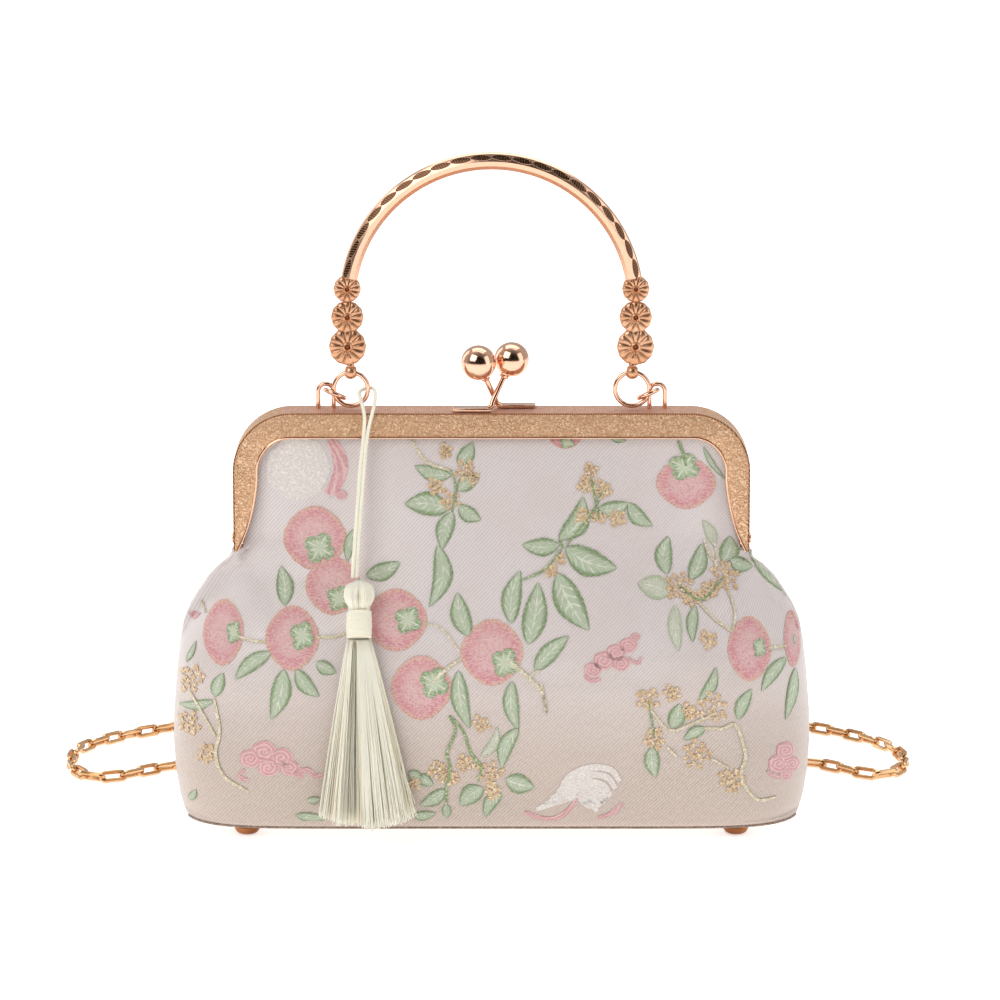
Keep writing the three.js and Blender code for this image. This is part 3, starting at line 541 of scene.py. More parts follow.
def cylinder_x(name, radius, x0, x1, y, z, bevel=0.15, vertices=48):
    bpy.ops.mesh.primitive_cylinder_add(
        vertices=vertices, radius=radius * MM, depth=(x1 - x0) * MM,
        location=to_row(((x0 + x1) / 2, y, z)), rotation=(0, math.radians(90), 0),
    )
    obj = bpy.context.active_object
    obj.name = name
    bake_place(obj)
    if bevel:
        apply_modifier(obj, "BEVEL", width=bevel * MM, segments=2, limit_method="ANGLE")
    return shade(obj, 30)


def ball(name, radius, centre, segments=64):
    bpy.ops.mesh.primitive_uv_sphere_add(
        segments=segments, ring_count=segments // 2, radius=radius * MM, location=to_row(centre),
    )
    obj = bpy.context.active_object
    obj.name = name
    return shade(bake_place(obj))


def cut(obj, tool):
    apply_modifier(obj, "BOOLEAN", object=tool, operation="DIFFERENCE", solver="EXACT")
    bpy.data.objects.remove(tool)
    return obj


def turned_half(obj, name):
    """A copy of a piece turned half way round the bag's own upright axis."""
    copy = obj.copy()
    copy.data = obj.data.copy()
    copy.name = name
    bpy.context.scene.collection.objects.link(copy)
    turn = Matrix.Translation(HOME) @ Matrix.Rotation(math.pi, 4, "Z") @ Matrix.Translation(-HOME)
    copy.data.transform(turn)
    return copy


def smooth_route(route, step):
    """Evenly spaced points along a curve through the given ones."""
    points = np.asarray(route, dtype=float)
    padded = np.vstack([2 * points[0] - points[1], points, 2 * points[-1] - points[-2]])
    dense = []
    for a, b, c, d in zip(padded, padded[1:], padded[2:], padded[3:]):
        for t in np.linspace(0, 1, 12, endpoint=False):
            dense.append(0.5 * (2 * b + (c - a) * t + (2 * a - 5 * b + 4 * c - d) * t * t
                                + (3 * b - a - 3 * c + d) * t ** 3))
    dense.append(points[-1])
    dense = np.array(dense)
    ways = np.concatenate([[0], np.cumsum(np.linalg.norm(np.diff(dense, axis=0), axis=1))])
    count = max(2, round(ways[-1] / step) + 1)
    even = np.linspace(0, ways[-1], count)
    return np.column_stack([np.interp(even, ways, dense[:, axis]) for axis in range(3)])


def route_frames(route):
    """The direction and a steady side direction at each point of a route."""
    along = np.gradient(route, axis=0)
    along /= np.linalg.norm(along, axis=1)[:, None]
    side = np.cross(along[0], (1.0, 0.0, 0.0))
    side /= np.linalg.norm(side)
    sides = []
    for direction in along:
        side = side - direction * np.dot(side, direction)
        side /= np.linalg.norm(side)
        sides.append(side)
    return along, np.array(sides)


def thread_mesh(name, routes, sides=5):
    """Round threads, each a list of (x, y, z, radius), as one mesh of closed tubes.
    The UV holds a value of the thread's own and the way along it."""
    points, faces, uvs = [], [], []
    tones = random.Random(41)
    for route in routes:
        line = np.asarray(route, dtype=float)
        along, side = route_frames(line[:, :3])
        other = np.cross(along, side)
        tone = tones.random()
        start = len(points)
        last = len(line) - 1
        for i, place in enumerate(line):
            for k in range(sides):
                angle = 2 * math.pi * k / sides
                spoke = math.cos(angle) * side[i] + math.sin(angle) * other[i]
                points.append(place[:3] + spoke * place[3])
                uvs.append((tone, i / last))
        for i in range(last):
            for k in range(sides):
                a = start + i * sides + k
                b = start + i * sides + (k + 1) % sides
                faces.append((a, b, b + sides, a + sides))
        faces.append(tuple(start + k for k in reversed(range(sides))))
        faces.append(tuple(start + last * sides + k for k in range(sides)))
    return shade(mesh_piece(name, points, faces, uvs=uvs))


# Materials


class Graph:
    """A material's node tree with short ways to add nodes."""

    def __init__(self, name):
        self.material = bpy.data.materials.new(f"{name}_look")
        self.material.use_nodes = True
        self.nodes = self.material.node_tree.nodes
        self.links = self.material.node_tree.links
        self.shader = self.nodes["Principled BSDF"]

    def feed(self, socket, value):
        if isinstance(value, bpy.types.NodeSocket):
            self.links.new(value, socket)
        else:
            socket.default_value = value

    def node(self, kind, inputs=None, **settings):
        node = self.nodes.new(kind)
        for key, value in settings.items():
            setattr(node, key, value)
        for key, value in (inputs or {}).items():
            self.feed(node.inputs[key], value)
        return node

    def math(self, operation, a, b=0.0):
        return self.node("ShaderNodeMath", {0: a, 1: b}, operation=operation).outputs[0]

    def times(self, a, b):
        return self.math("MULTIPLY", a, b)

    def plus(self, a, b):
        return self.math("ADD", a, b)

    def minus(self, a, b):
        return self.math("SUBTRACT", a, b)

    def reach(self, x, y):
        return self.math("SQRT", self.plus(self.times(x, x), self.times(y, y)))

    def ease(self, value, low, high, to_low=0.0, to_high=1.0):
        inputs = {"Value": value, "From Min": low, "From Max": high, "To Min": to_low, "To Max": to_high}
        return self.node("ShaderNodeMapRange", inputs, interpolation_type="SMOOTHSTEP").outputs[0]

    def mix(self, share, a, b):
        node = self.node("ShaderNodeMix", data_type="RGBA")
        self.feed(node.inputs[0], share)
        self.feed(node.inputs[6], a)
        self.feed(node.inputs[7], b)
        return node.outputs[2]

    def place(self):
        return self.node("ShaderNodeTexCoord").outputs["Object"]

    def uv(self):
        return self.node("ShaderNodeUVMap", uv_map="UVMap").outputs[0]

    def split(self, vector):
        return self.node("ShaderNodeSeparateXYZ", {0: vector}).outputs

    def stretch(self, vector, scale, rotation=(0.0, 0.0, 0.0)):
        inputs = {"Vector": vector, "Scale": scale, "Rotation": rotation}
        return self.node("ShaderNodeMapping", inputs).outputs[0]

    def noise(self, vector, scale, detail=2.0, distortion=0.0):
        inputs = {"Vector": vector, "Scale": scale, "Detail": detail, "Distortion": distortion}
        return self.node("ShaderNodeTexNoise", inputs).outputs[0]

    def bump(self, height, strength, distance):
        inputs = {"Height": height, "Strength": strength, "Distance": distance}
        self.feed(self.shader.inputs["Normal"], self.node("ShaderNodeBump", inputs).outputs[0])

    def set(self, **values):
        for key, value in values.items():
            self.feed(self.shader.inputs[key.replace("_", " ")], value)
        return self.material


def satin_material(settings):
    g = Graph("brocade_satin")
    weave = g.uv()
    pitch = settings.twill_pitch * 1000
    lines = g.node("ShaderNodeTexWave", {
        "Vector": weave, "Scale": 0.444 / pitch, "Distortion": 0.9, "Detail": 1.0, "Detail Scale": 3.0,
    }, bands_direction="DIAGONAL").outputs["Fac"]
    cross = g.noise(g.stretch(weave, (2.4, 0.6, 1), (0, 0, math.radians(45))), 1.0, 3.0)
    drift = g.noise(weave, 0.03, 3.0)
    height = g.split(g.place())[2]
    # Painted light: the satin is painted lighter at the top and darker, browner towards the bottom, as light
    # from above falls on it.
    painted_lit_top = g.mix(lines, srgb(204, 193, 192), settings.satin_colour)
    painted_shaded_bottom = g.mix(lines, srgb(176, 156, 142), srgb(202, 184, 170))
    # Painted shade: the lit top colour blends into the shaded bottom colour from 22 mm to 88 mm up.
    colour = g.mix(g.ease(height, 0.022, 0.088), painted_shaded_bottom, painted_lit_top)
    colour = g.mix(g.ease(cross, 0.35, 0.7, 0.0, 0.3), colour, srgb(236, 228, 224))
    # Painted sheen: broad patches are painted a little darker and warmer, as the satin's uneven sheen.
    colour = g.mix(g.ease(drift, 0.35, 0.7, 0.0, 0.2), colour, srgb(208, 184, 176))
    relief = g.plus(lines, g.times(cross, 0.9))
    g.bump(relief, 0.4, 0.00009)
    return g.set(Base_Color=colour, Roughness=g.ease(lines, 0, 1, 0.44, 0.32), Sheen_Weight=0.2,
                 Sheen_Roughness=0.4, Specular_IOR_Level=0.75, Anisotropic=0.4)


def thread_speckle(g, scale=1.0):
    """A fine broken diagonal texture, like packed embroidery floss."""
    place = g.stretch(g.place(), (900 * scale, 900 * scale, 2600 * scale), (0, math.radians(38), 0))
    return g.noise(place, 1.0, 2.0)


def embroidery(g, colour, relief):
    g.bump(relief, 0.8, 0.00022)
    return g.set(Base_Color=colour, Roughness=0.55, Sheen_Weight=0.4, Sheen_Roughness=0.35,
                 Specular_IOR_Level=0.4)


def leaf_material(name, rim, fill, vein):
    g = Graph(name)
    way, across, _ = g.split(g.uv())
    edge = g.math("ABSOLUTE", g.minus(g.times(across, 2.0), 1.0))
    speckle = thread_speckle(g)
    slant = g.minus(g.times(way, 6.5), g.times(edge, 1.6))
    slant = g.plus(slant, g.times(g.noise(g.place(), 260.0, 2.0), 0.9))
    wave = g.math("ABSOLUTE", g.minus(g.math("FRACT", slant), 0.5))
    rib = g.ease(edge, 0.05, 0.14, 1.0, 0.0)
    ribs = g.times(g.ease(wave, 0.07, 0.2, 1.0, 0.0), g.ease(edge, 0.62, 0.8, 1.0, 0.0))
    dark = g.ease(g.plus(edge, g.times(speckle, 0.6)), 0.78, 1.12)
    broken = g.ease(g.noise(g.place(), 420.0, 2.0), 0.38, 0.6, 0.2, 0.9)
    colour = g.mix(dark, fill, rim)
    colour = g.mix(g.ease(speckle, 0.42, 0.66, 0.0, 0.55), colour, srgb(186, 190, 168))
    colour = g.mix(g.times(g.math("MAXIMUM", rib, ribs), broken), colour, vein)
    relief = g.plus(g.times(speckle, 0.8), g.math("MAXIMUM", rib, ribs))
    return embroidery(g, colour, relief)


def persimmon_material(settings):
    g = Graph("persimmon_thread")
    x, y, _ = g.split(g.uv())
    radius = g.reach(x, y)
    speckle = thread_speckle(g, 0.8)
    grain = g.noise(g.place(), 1500.0, 1.0)
    rim = g.ease(g.plus(radius, g.times(speckle, 0.4)), 0.62, 0.98)
    colour = g.mix(rim, srgb(218, 174, 175), settings.persimmon_colour)
    colour = g.mix(g.ease(speckle, 0.42, 0.6, 0.0, 0.7), colour, srgb(224, 194, 188))
    colour = g.mix(g.ease(grain, 0.56, 0.66, 0.0, 0.6), colour, srgb(194, 118, 132))
    angle = g.math("ARCTAN2", y, x)
    stitches = g.ease(g.math("SINE", g.times(angle, 46.0)), -0.5, 0.3)
    gold = g.times(g.ease(radius, 0.84, 0.93), g.times(stitches, g.ease(grain, 0.38, 0.5)))
    specks = g.times(g.ease(grain, 0.6, 0.66, 0.0, 0.3), g.ease(y, 0.4, -0.4))
    gold = g.math("MAXIMUM", gold, specks)
    colour = g.mix(g.times(gold, 0.95), colour, srgb(214, 186, 150))
    return embroidery(g, colour, g.plus(speckle, g.times(grain, 0.6)))


def calyx_material():
    g = Graph("calyx_thread")
    x, y, _ = g.split(g.uv())
    radius = g.reach(x, y)
    angle = g.math("ARCTAN2", y, x)
    spokes = g.math("ABSOLUTE", g.math("SINE", g.times(angle, 4.0)))
    speckle = thread_speckle(g)
    colour = g.mix(g.ease(radius, 0.3, 0.8), srgb(190, 200, 176), srgb(134, 154, 114))
    colour = g.mix(g.ease(speckle, 0.42, 0.62, 0.0, 0.8), colour, srgb(196, 206, 178))
    pale = g.times(g.ease(spokes, 0.1, 0.5, 0.9, 0.0), g.ease(radius, 0.7, 0.95, 1.0, 0.0))
    colour = g.mix(pale, colour, srgb(222, 222, 202))
    return embroidery(g, colour, speckle)


def floss_material(name, base, bright, dark):
    g = Graph(name)
    speckle = thread_speckle(g)
    grain = g.noise(g.place(), 1100.0, 2.0)
    colour = g.mix(g.ease(speckle, 0.35, 0.65), dark, base)
    colour = g.mix(g.ease(grain, 0.5, 0.66), colour, bright)
    return embroidery(g, colour, g.plus(speckle, grain))


def lobe_material(name, line, fill, turns):
    """Curling rows of floss, following a spiral from the middle of each lobe."""
    g = Graph(name)
    x, y, _ = g.split(g.uv())
    radius = g.reach(x, y)
    angle = g.math("DIVIDE", g.math("ARCTAN2", y, x), 2 * math.pi)
    drift = g.times(g.noise(g.place(), 500.0, 2.0), 0.9)
    rows = g.math("FRACT", g.plus(g.plus(g.times(radius, turns), angle), drift))
    row = g.ease(g.math("ABSOLUTE", g.minus(rows, 0.5)), 0.18, 0.32)
    speckle = thread_speckle(g)
    colour = g.mix(row, line, fill)
    colour = g.mix(g.ease(speckle, 0.4, 0.7, 0.0, 0.4), colour, srgb(236, 214, 208))
    return embroidery(g, colour, g.plus(speckle, row))


def metal_material(name, base, deep, roughness, grain_scale=900.0, grain=0.15, cavity=False):
    g = Graph(name)
    place = g.place()
    cloud = g.noise(place, 60.0, 3.0)
    fine = g.noise(place, grain_scale, 2.0)
    colour = g.mix(g.ease(cloud, 0.35, 0.65), base, deep)
    if cavity:
        # Painted shade: the grooves and the dimple of the flowers are coloured dark brown.
        painted_shade_share = g.node("ShaderNodeAttribute", attribute_name="cavity").outputs["Fac"]
        colour = g.mix(painted_shade_share, colour, srgb(128, 78, 50))
    g.bump(fine, grain, 0.00008)
    finish = g.ease(fine, 0.3, 0.7, roughness, roughness + 0.08)
    return g.set(Base_Color=colour, Metallic=1.0, Roughness=finish)


def embossed_material():
    """Rose gold with small curling embossed marks."""
    g = Graph("embossed_gold")
    place = g.place()
    height = g.split(place)[2]
    curls = g.noise(place, 420.0, 1.0, 3.5)
    marks = g.ease(g.math("ABSOLUTE", g.minus(curls, 0.5)), 0.03, 0.075, 1.0, 0.0)
    grit = g.noise(place, 1100.0, 2.0)
    base = g.mix(g.ease(height, 0.1618, 0.1626), srgb(232, 188, 150), srgb(236, 186, 164))
    colour = g.mix(g.times(marks, 0.55), base, srgb(178, 128, 88))
    colour = g.mix(g.ease(grit, 0.54, 0.66, 0.0, 0.7), colour, srgb(255, 228, 196))
    g.bump(g.plus(g.times(marks, -1.0), grit), 0.9, 0.00035)
    return g.set(Base_Color=colour, Metallic=0.9, Roughness=0.42)


def beading_material():
    """Close gold beads along the frame's edge, with painted shade, near black, in the seam between them."""
    g = Graph("beaded_seam_painted_shade")
    x, _, z = g.split(g.place())
    way = g.plus(x, g.times(z, 0.45))
    beads = g.math("ABSOLUTE", g.math("SINE", g.times(way, math.pi / 0.0009)))
    # Painted shade: the seam between the beads is painted dark brown.
    colour = g.mix(g.ease(beads, 0.35, 0.75), srgb(58, 28, 14), srgb(188, 134, 96))
    g.bump(beads, 0.8, 0.0002)
    return g.set(Base_Color=colour, Metallic=1.0, Roughness=0.4)


def arch_material(settings):
    """Polished gold with leaf-shaped cuts along the outer edge, set by the way round and the radius; the cuts
    are painted near black for their shade and dark reflection.
    """
    g = Graph("engraved_gold")
    x, _, z = g.split(g.place())
    centre = to_row((0, 0, HANDLE_CENTRE))
    dx = g.minus(x, centre.x)
    dz = g.minus(z, centre.z)
    radius = g.reach(dx, dz)
    out = g.math("DIVIDE", g.minus(radius, (HANDLE_RADIUS + 1.55) * MM), 1.25 * MM)
    angle = g.math("ARCTAN2", dx, dz)
    steps = g.math("FRACT", g.plus(g.times(angle, 7.2), g.times(out, 0.12)))
    leaf = g.math("SINE", g.times(steps, math.pi))
    width = g.times(g.math("POWER", leaf, 0.55), 0.92)
    inside = g.minus(width, g.math("ABSOLUTE", out))
    cuts = g.ease(inside, 0.0, 0.14)
    ribs = g.math("FRACT", g.plus(g.times(angle, 58.0), g.times(out, 0.5)))
    rib = g.times(cuts, g.ease(ribs, 0.8, 0.95))
    fine = g.noise(g.place(), 700.0, 2.0)
    colour = g.mix(g.ease(fine, 0.3, 0.7, 0.0, 0.3), settings.gold_colour, srgb(226, 178, 138))
    # Painted shade: the cuts are coloured near black for the shade and dark reflection in them.
    colour = g.mix(g.times(cuts, 0.93), colour, srgb(46, 20, 10))
    colour = g.mix(g.times(rib, 0.7), colour, srgb(226, 170, 122))
    g.bump(g.minus(rib, cuts), 0.8, 0.00022)
    return g.set(Base_Color=colour, Metallic=1.0, Roughness=0.2)


def silk_material(settings):
    g = Graph("tassel_silk")
    tone, way, _ = g.split(g.uv())
    fine = g.noise(g.stretch(g.place(), (2600, 2600, 120)), 1.0, 2.0)
    colour = g.mix(g.ease(tone, 0.1, 0.9), settings.tassel_colour, srgb(252, 249, 236))
    colour = g.mix(g.ease(tone, 0.74, 0.98, 0.0, 0.6), colour, srgb(238, 220, 176))
    colour = g.mix(g.ease(fine, 0.4, 0.7, 0.0, 0.35), colour, srgb(250, 246, 232))
    # Painted shade: each thread is darker near its start, where the threads meet the cord, the head and the
    # binding.
    colour = g.mix(g.ease(way, 0.0, 0.1, 0.2, 0.0), colour, srgb(206, 188, 146))
    g.bump(fine, 0.5, 0.00008)
    return g.set(Base_Color=colour, Roughness=0.42, Sheen_Weight=0.3, Specular_IOR_Level=0.6,
                 Subsurface_Weight=0.25, Subsurface_Radius=(0.003, 0.0026, 0.0018))


def floor_material():
    g = Graph("pale_floor")
    grain = g.noise(g.place(), 3.0, 3.0)
    colour = g.mix(grain, srgb(252, 252, 252), srgb(248, 248, 248))
    return g.set(Base_Color=colour, Roughness=0.9, Specular_IOR_Level=0.1,
                 Emission_Color=(1, 1, 1, 1), Emission_Strength=0.62)


def material(name):
    return bpy.data.materials[f"{name}_look"]


def finish_piece(obj, look, body, slot, *nodes):
    """Gives a piece its material, hangs it under its body's empty and hides the CAD parts it replaces."""
    obj.data.materials.clear()
    obj.data.materials.append(material(look))
    declare(obj, body, slot, *nodes)


def declare(obj, body, slot, *nodes):
    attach(obj, body)
    if nodes:
        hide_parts(*nodes)


# Bag and its pattern


def build_bag():
    heights = [BAG_BASE, BAG_BASE + 1.2, BAG_BASE + 2.4, BAG_BASE + EDGE_INSET]
    insets = [EDGE_INSET, 0.3 * EDGE_INSET, 0.08 * EDGE_INSET, 0]
    heights += list(np.linspace(12, 100, 52)) + list(np.linspace(101.4, 118, 12))
    heights += list(np.linspace(120, BAG_TOP, 20))
    insets += [0] * (len(heights) - len(insets))
    count = 150
    rings, ways = [], []
    for share in (0.02, 0.35, 0.7, 0.9):
        ring, way = bag_outline(BAG_BASE, EDGE_INSET, count)
        rings.append([(x * share, y * share, BAG_BASE) for x, y in ring])
        ways.append([(w, -60 + 55 * share) for w in way])
    for z, inset in zip(heights, insets):
        ring, way = bag_outline(z, inset, count)
        rings.append([(x, y, z) for x, y in ring])
        ways.append([(w, z) for w in way])
    around = 2 * count
    points = [point for ring in rings for point in ring]
    faces, loop_uvs = [], []
    for level in range(len(rings) - 1):
        for i in range(around):
            j = (i + 1) % around
            low, high = level * around, (level + 1) * around
            faces.append((low + j, low + i, high + i, high + j))
            step = ways[level][1][0] - ways[level][0][0]
            step_up = ways[level + 1][1][0] - ways[level + 1][0][0]
            loop_uvs += [
                (ways[level][i][0] + step, ways[level][i][1]), ways[level][i],
                ways[level + 1][i], (ways[level + 1][i][0] + step_up, ways[level + 1][i][1]),
            ]
    faces.append(tuple(range(around)))
    loop_uvs += [ways[0][i] for i in range(around)]
    obj = mesh_piece("bag", points, faces, loop_uvs=loop_uvs)
    fix_normals(obj)
    apply_modifier(obj, "SOLIDIFY", thickness=BAG_WALL * MM, offset=-1.0)
    shade(obj)
    finish_piece(obj, "brocade_satin", "root", "brocade", "bag_body")


def build_bottom_shadow_cord():
    # Painted shadow: a darker cord round the bottom edge stands in for the thin shadow line under the bag's
    # edge.
    routes = []
    for z, inset in ((BAG_BASE + 0.5, 2.1),):
        ring, _ = bag_outline(z, inset, 160)
        routes.append([(x, y, z) for x, y in ring])
    obj = wires("bottom_shadow_cord", routes, 0.55, closed=True, resolution=2)
    finish_piece(obj, "bottom_shadow_thread", "root", "brocade")


class Sheets:
    """Collects patches of the pattern and lays them on both sides of the bag as one mesh."""

    def __init__(self, name, look, lift):
        self.name = name
        self.look = look
        self.lift = lift
        self.points = []
        self.faces = []
        self.uvs = []

    def add(self, points, faces, uvs):
        start = len(self.points)
        self.points += points
        self.faces += [tuple(start + index for index in face) for face in faces]
        self.uvs += uvs

    def build(self):
        for word, side in (("front", 1), ("back", -1)):
            laid = [chart_place(u, v, self.lift, side) for u, v in self.points]
            obj = mesh_piece(f"{self.name}_{word}", laid, self.faces, uvs=self.uvs)
            flip_outward(obj, side)
            apply_modifier(obj, "SOLIDIFY", thickness=0.16 * MM, offset=-1.0)
            shade(obj, 60)
            finish_piece(obj, self.look, "root", "brocade")


def flip_outward(obj, side):
    """Turns every face away from the bag's middle plane."""
    select_only(obj)
    for polygon in obj.data.polygons:
        if polygon.normal.y * side > 0:
            polygon.flip()
    obj.data.update()


def leaf_patch(base, tip, half, bow):
    """A pointed leaf with a bowed middle rib and a finely toothed edge."""
    base, tip = np.array(base, float), np.array(tip, float)
    along = tip - base
    length = np.linalg.norm(along)
    along /= length
    across = np.array([-along[1], along[0]])
    rows = max(10, int(length / 2.2))
    columns = 6
    points, uvs, faces = [], [], []
    for i in range(rows + 1):
        t = i / rows
        middle = base + along * length * t + across * bow * math.sin(math.pi * t)
        width = half * (math.sin(math.pi * t ** 0.85) ** 0.8 if 0 < t < 1 else 0)
        width = max(width * (1 + 0.09 * ((t * 9) % 1 - 0.5)), 0.25)
        for k in range(columns + 1):
            share = 2 * k / columns - 1
            u, v = middle + across * width * share
            points.append((u, v))
            uvs.append((t, (share + 1) / 2))
    for i in range(rows):
        for k in range(columns):
            a = i * (columns + 1) + k
            faces.append((a, a + 1, a + columns + 2, a + columns + 1))
    return points, faces, uvs


def disc_patch(middle, half_width, half_height, shape, rings=6, steps=40, turn=0.0):
    """A round patch whose edge follows shape(angle); its UV runs from -1 to 1."""
    points, uvs, faces = [middle], [(0.0, 0.0)], []
    for ring in range(1, rings + 1):
        share = ring / rings
        for i in range(steps):
            angle = 2 * math.pi * i / steps
            reach = share * shape(angle)
            c, s = math.cos(angle + turn), math.sin(angle + turn)
            points.append((middle[0] + half_width * reach * c, middle[1] + half_height * reach * s))
            uvs.append((share * math.cos(angle), share * math.sin(angle)))
    for i in range(steps):
        j = (i + 1) % steps
        faces.append((0, 1 + i, 1 + j))
        for ring in range(rings - 1):
            low, high = 1 + ring * steps, 1 + (ring + 1) * steps
            faces.append((low + i, high + i, high + j, low + j))
    return points, faces, uvs


def ribbon_patch(route, half):
    """A narrow strip along chart points."""
    line = smooth_route([(u, v, 0) for u, v in route], 2.5)
    along, _ = route_frames(line)
    points, uvs, faces = [], [], []
    last = len(line) - 1
    for i, (place, direction) in enumerate(zip(line, along)):
        width = half * (0.45 + 0.55 * math.sin(math.pi * clamp((i + 0.6) / (last + 1.2))) ** 0.4)
        for share in (-1, 1):
            points.append((place[0] - direction[1] * width * share, place[1] + direction[0] * width * share))
            uvs.append((i / last, (share + 1) / 2))
    for i in range(last):
        faces.append((2 * i, 2 * i + 1, 2 * i + 3, 2 * i + 2))
    return points, faces, uvs


def build_leaves():
    for name, table in (("leaves", LEAVES), ("pale_leaves", PALE_LEAVES)):
        sheets = Sheets(name, "leaf_thread" if name == "leaves" else "pale_leaf_thread", 0.3)
        for leaf in table:
            sheets.add(*leaf_patch(*leaf))
        sheets.build()


def build_persimmons():
    fruit = Sheets("persimmons", "persimmon_thread", 0.24)
    crowns = Sheets("calyxes", "calyx_thread", 0.46)
    for middle, half_width, half_height, crown, reach in PERSIMMONS:
        fruit.add(*disc_patch(middle, half_width, half_height,
                              lambda a: 0.975 + 0.025 * math.cos(4 * a) + 0.008 * math.sin(17 * a), 9, 56))
        crowns.add(*disc_patch(crown, reach * half_width / half_height, reach,
                               lambda a: 0.66 + 0.34 * abs(math.cos(2 * a)) ** 0.7, 4, 48, 0.5))
    fruit.build()
    crowns.build()


def build_blossoms():
    sheets = Sheets("osmanthus", "osmanthus_thread", 0.42)
    dice = random.Random(7)
    for middle, reach in CLUSTERS:
        for i in range(max(5, round(reach * 0.95))):
            angle = i * 2.39996
            away = reach * math.sqrt((i + 0.4) / max(5, reach * 0.95)) * 0.86
            u = middle[0] + away * math.cos(angle) + dice.uniform(-1, 1)
            v = middle[1] + away * math.sin(angle) + dice.uniform(-1, 1)
            petal = dice.uniform(2.7, 3.6)
            turn = dice.uniform(0, math.pi)
            sheets.add(*disc_patch((u, v), petal, petal,
                                   lambda a: 0.5 + 0.5 * abs(math.cos(2 * a)) ** 0.8, 2, 24, turn))
    sheets.build()


def build_twigs():
    for name, look, table in (("twigs", "twig_thread", TWIGS), ("stems", "stem_thread", STEMS)):
        sheets = Sheets(name, look, 0.5)
        for route, half in table:
            sheets.add(*ribbon_patch(route, half))
        sheets.build()


def build_clouds():
    clouds = Sheets("clouds", "cloud_thread", 0.26)
    for middle, reach in CLOUD_LOBES:
        clouds.add(*disc_patch(middle, reach, 0.86 * reach, lambda a: 0.96 + 0.04 * math.cos(5 * a), 5, 32))
    for route, half in CLOUD_TAILS:
        clouds.add(*ribbon_patch(route, half))
    clouds.build()
    pale = Sheets("pale_motifs", "pale_thread", 0.22)
    for middle, reach in PALE_LOBES:
        pale.add(*disc_patch(middle, reach, reach, lambda a: 0.97 + 0.03 * math.cos(7 * a), 7, 40))
    for route, half in PALE_PLUMES:
        pale.add(*ribbon_patch(route, half))
    pale.build()


# Frame


def frame_edge(inset):
    radius = CORNER_RADIUS - inset
    points = [(-FRAME_HALF + inset, LEG_TIP)]
    for side in (-1, 1):
        for i in range(25):
            turn = math.pi / 2 * i / 24
            angle = math.pi - turn if side < 0 else math.pi / 2 - turn
            points.append((side * CORNER_X + radius * math.cos(angle), CORNER_Z + radius * math.sin(angle)))
    points.append((FRAME_HALF - inset, LEG_TIP))
    return points


def frame_inner_edge(inset=0.0):
    """The face's inner edge from the right leg tip over the top to the left one."""
    inner = FRAME_HALF - LEG_WIDTH
    radius = inner - CORNER_X
    taper_top = CORNER_Z - 0.12 * CORNER_RADIUS
    bend = LEG_TIP + 0.44 * (taper_top - LEG_TIP)
    start = np.array((FRAME_HALF - LEG_TIP_WIDTH - FRAME_WALL, LEG_TIP))
    middle = np.array((inner + 1.2, bend))
    end = np.array((inner, taper_top))
    right = []
    for t in np.linspace(0, 1, 15):
        right.append(tuple((1 - t) ** 2 * start + 2 * t * (1 - t) * middle + t * t * end))
    for i in range(21):
        angle = math.pi / 2 * i / 20
        right.append((CORNER_X + radius * math.cos(angle), FACE_BOTTOM - radius + radius * math.sin(angle)))
    right = [(x + inset, z + (inset if z > taper_top else 0)) for x, z in right]
    return right + [(-x, z) for x, z in reversed(right)]


def build_jaw_channel():
    """Face, web and inner flange of the front jaw."""
    face = frame_edge(0) + frame_inner_edge()
    web = frame_edge(0.02) + frame_edge(FRAME_WALL)[::-1]
    front = -FRAME_HALF_DEPTH
    inner = -JAW_GAP / 2
    plates = [
        plate("jaw_face", face, front, front + FRAME_WALL, 0.3),
        plate("jaw_flange", face, inner - FRAME_WALL, inner, 0.2),
    ]
    top = plate("jaw_web", web, front + 0.5, inner, 0.25)
    return plates, top


def hinge_cut(obj, side, low_x, high_x, low_y, high_y):
    margin = LUG_RADIUS + 0.3
    x0, x1 = (low_x, high_x) if side > 0 else (-high_x, -low_x)
    tool = box("hinge_cut", (x0, low_y, LEG_TIP - 1), (x1, high_y, HINGE_HEIGHT + margin), 0)
    return cut(obj, tool)


def lug(side, low_x, high_x, low_y, high_y):
    x0, x1 = (low_x, high_x) if side > 0 else (-high_x, -low_x)
    top, bottom = HINGE_HEIGHT + LUG_RADIUS, HINGE_HEIGHT - LUG_RADIUS
    return [
        box("lug", (x0, low_y, bottom), (x1, high_y, top), 0.15),
        cylinder_x("lug_end", LUG_RADIUS, x0, x1, 0, HINGE_HEIGHT),
    ]


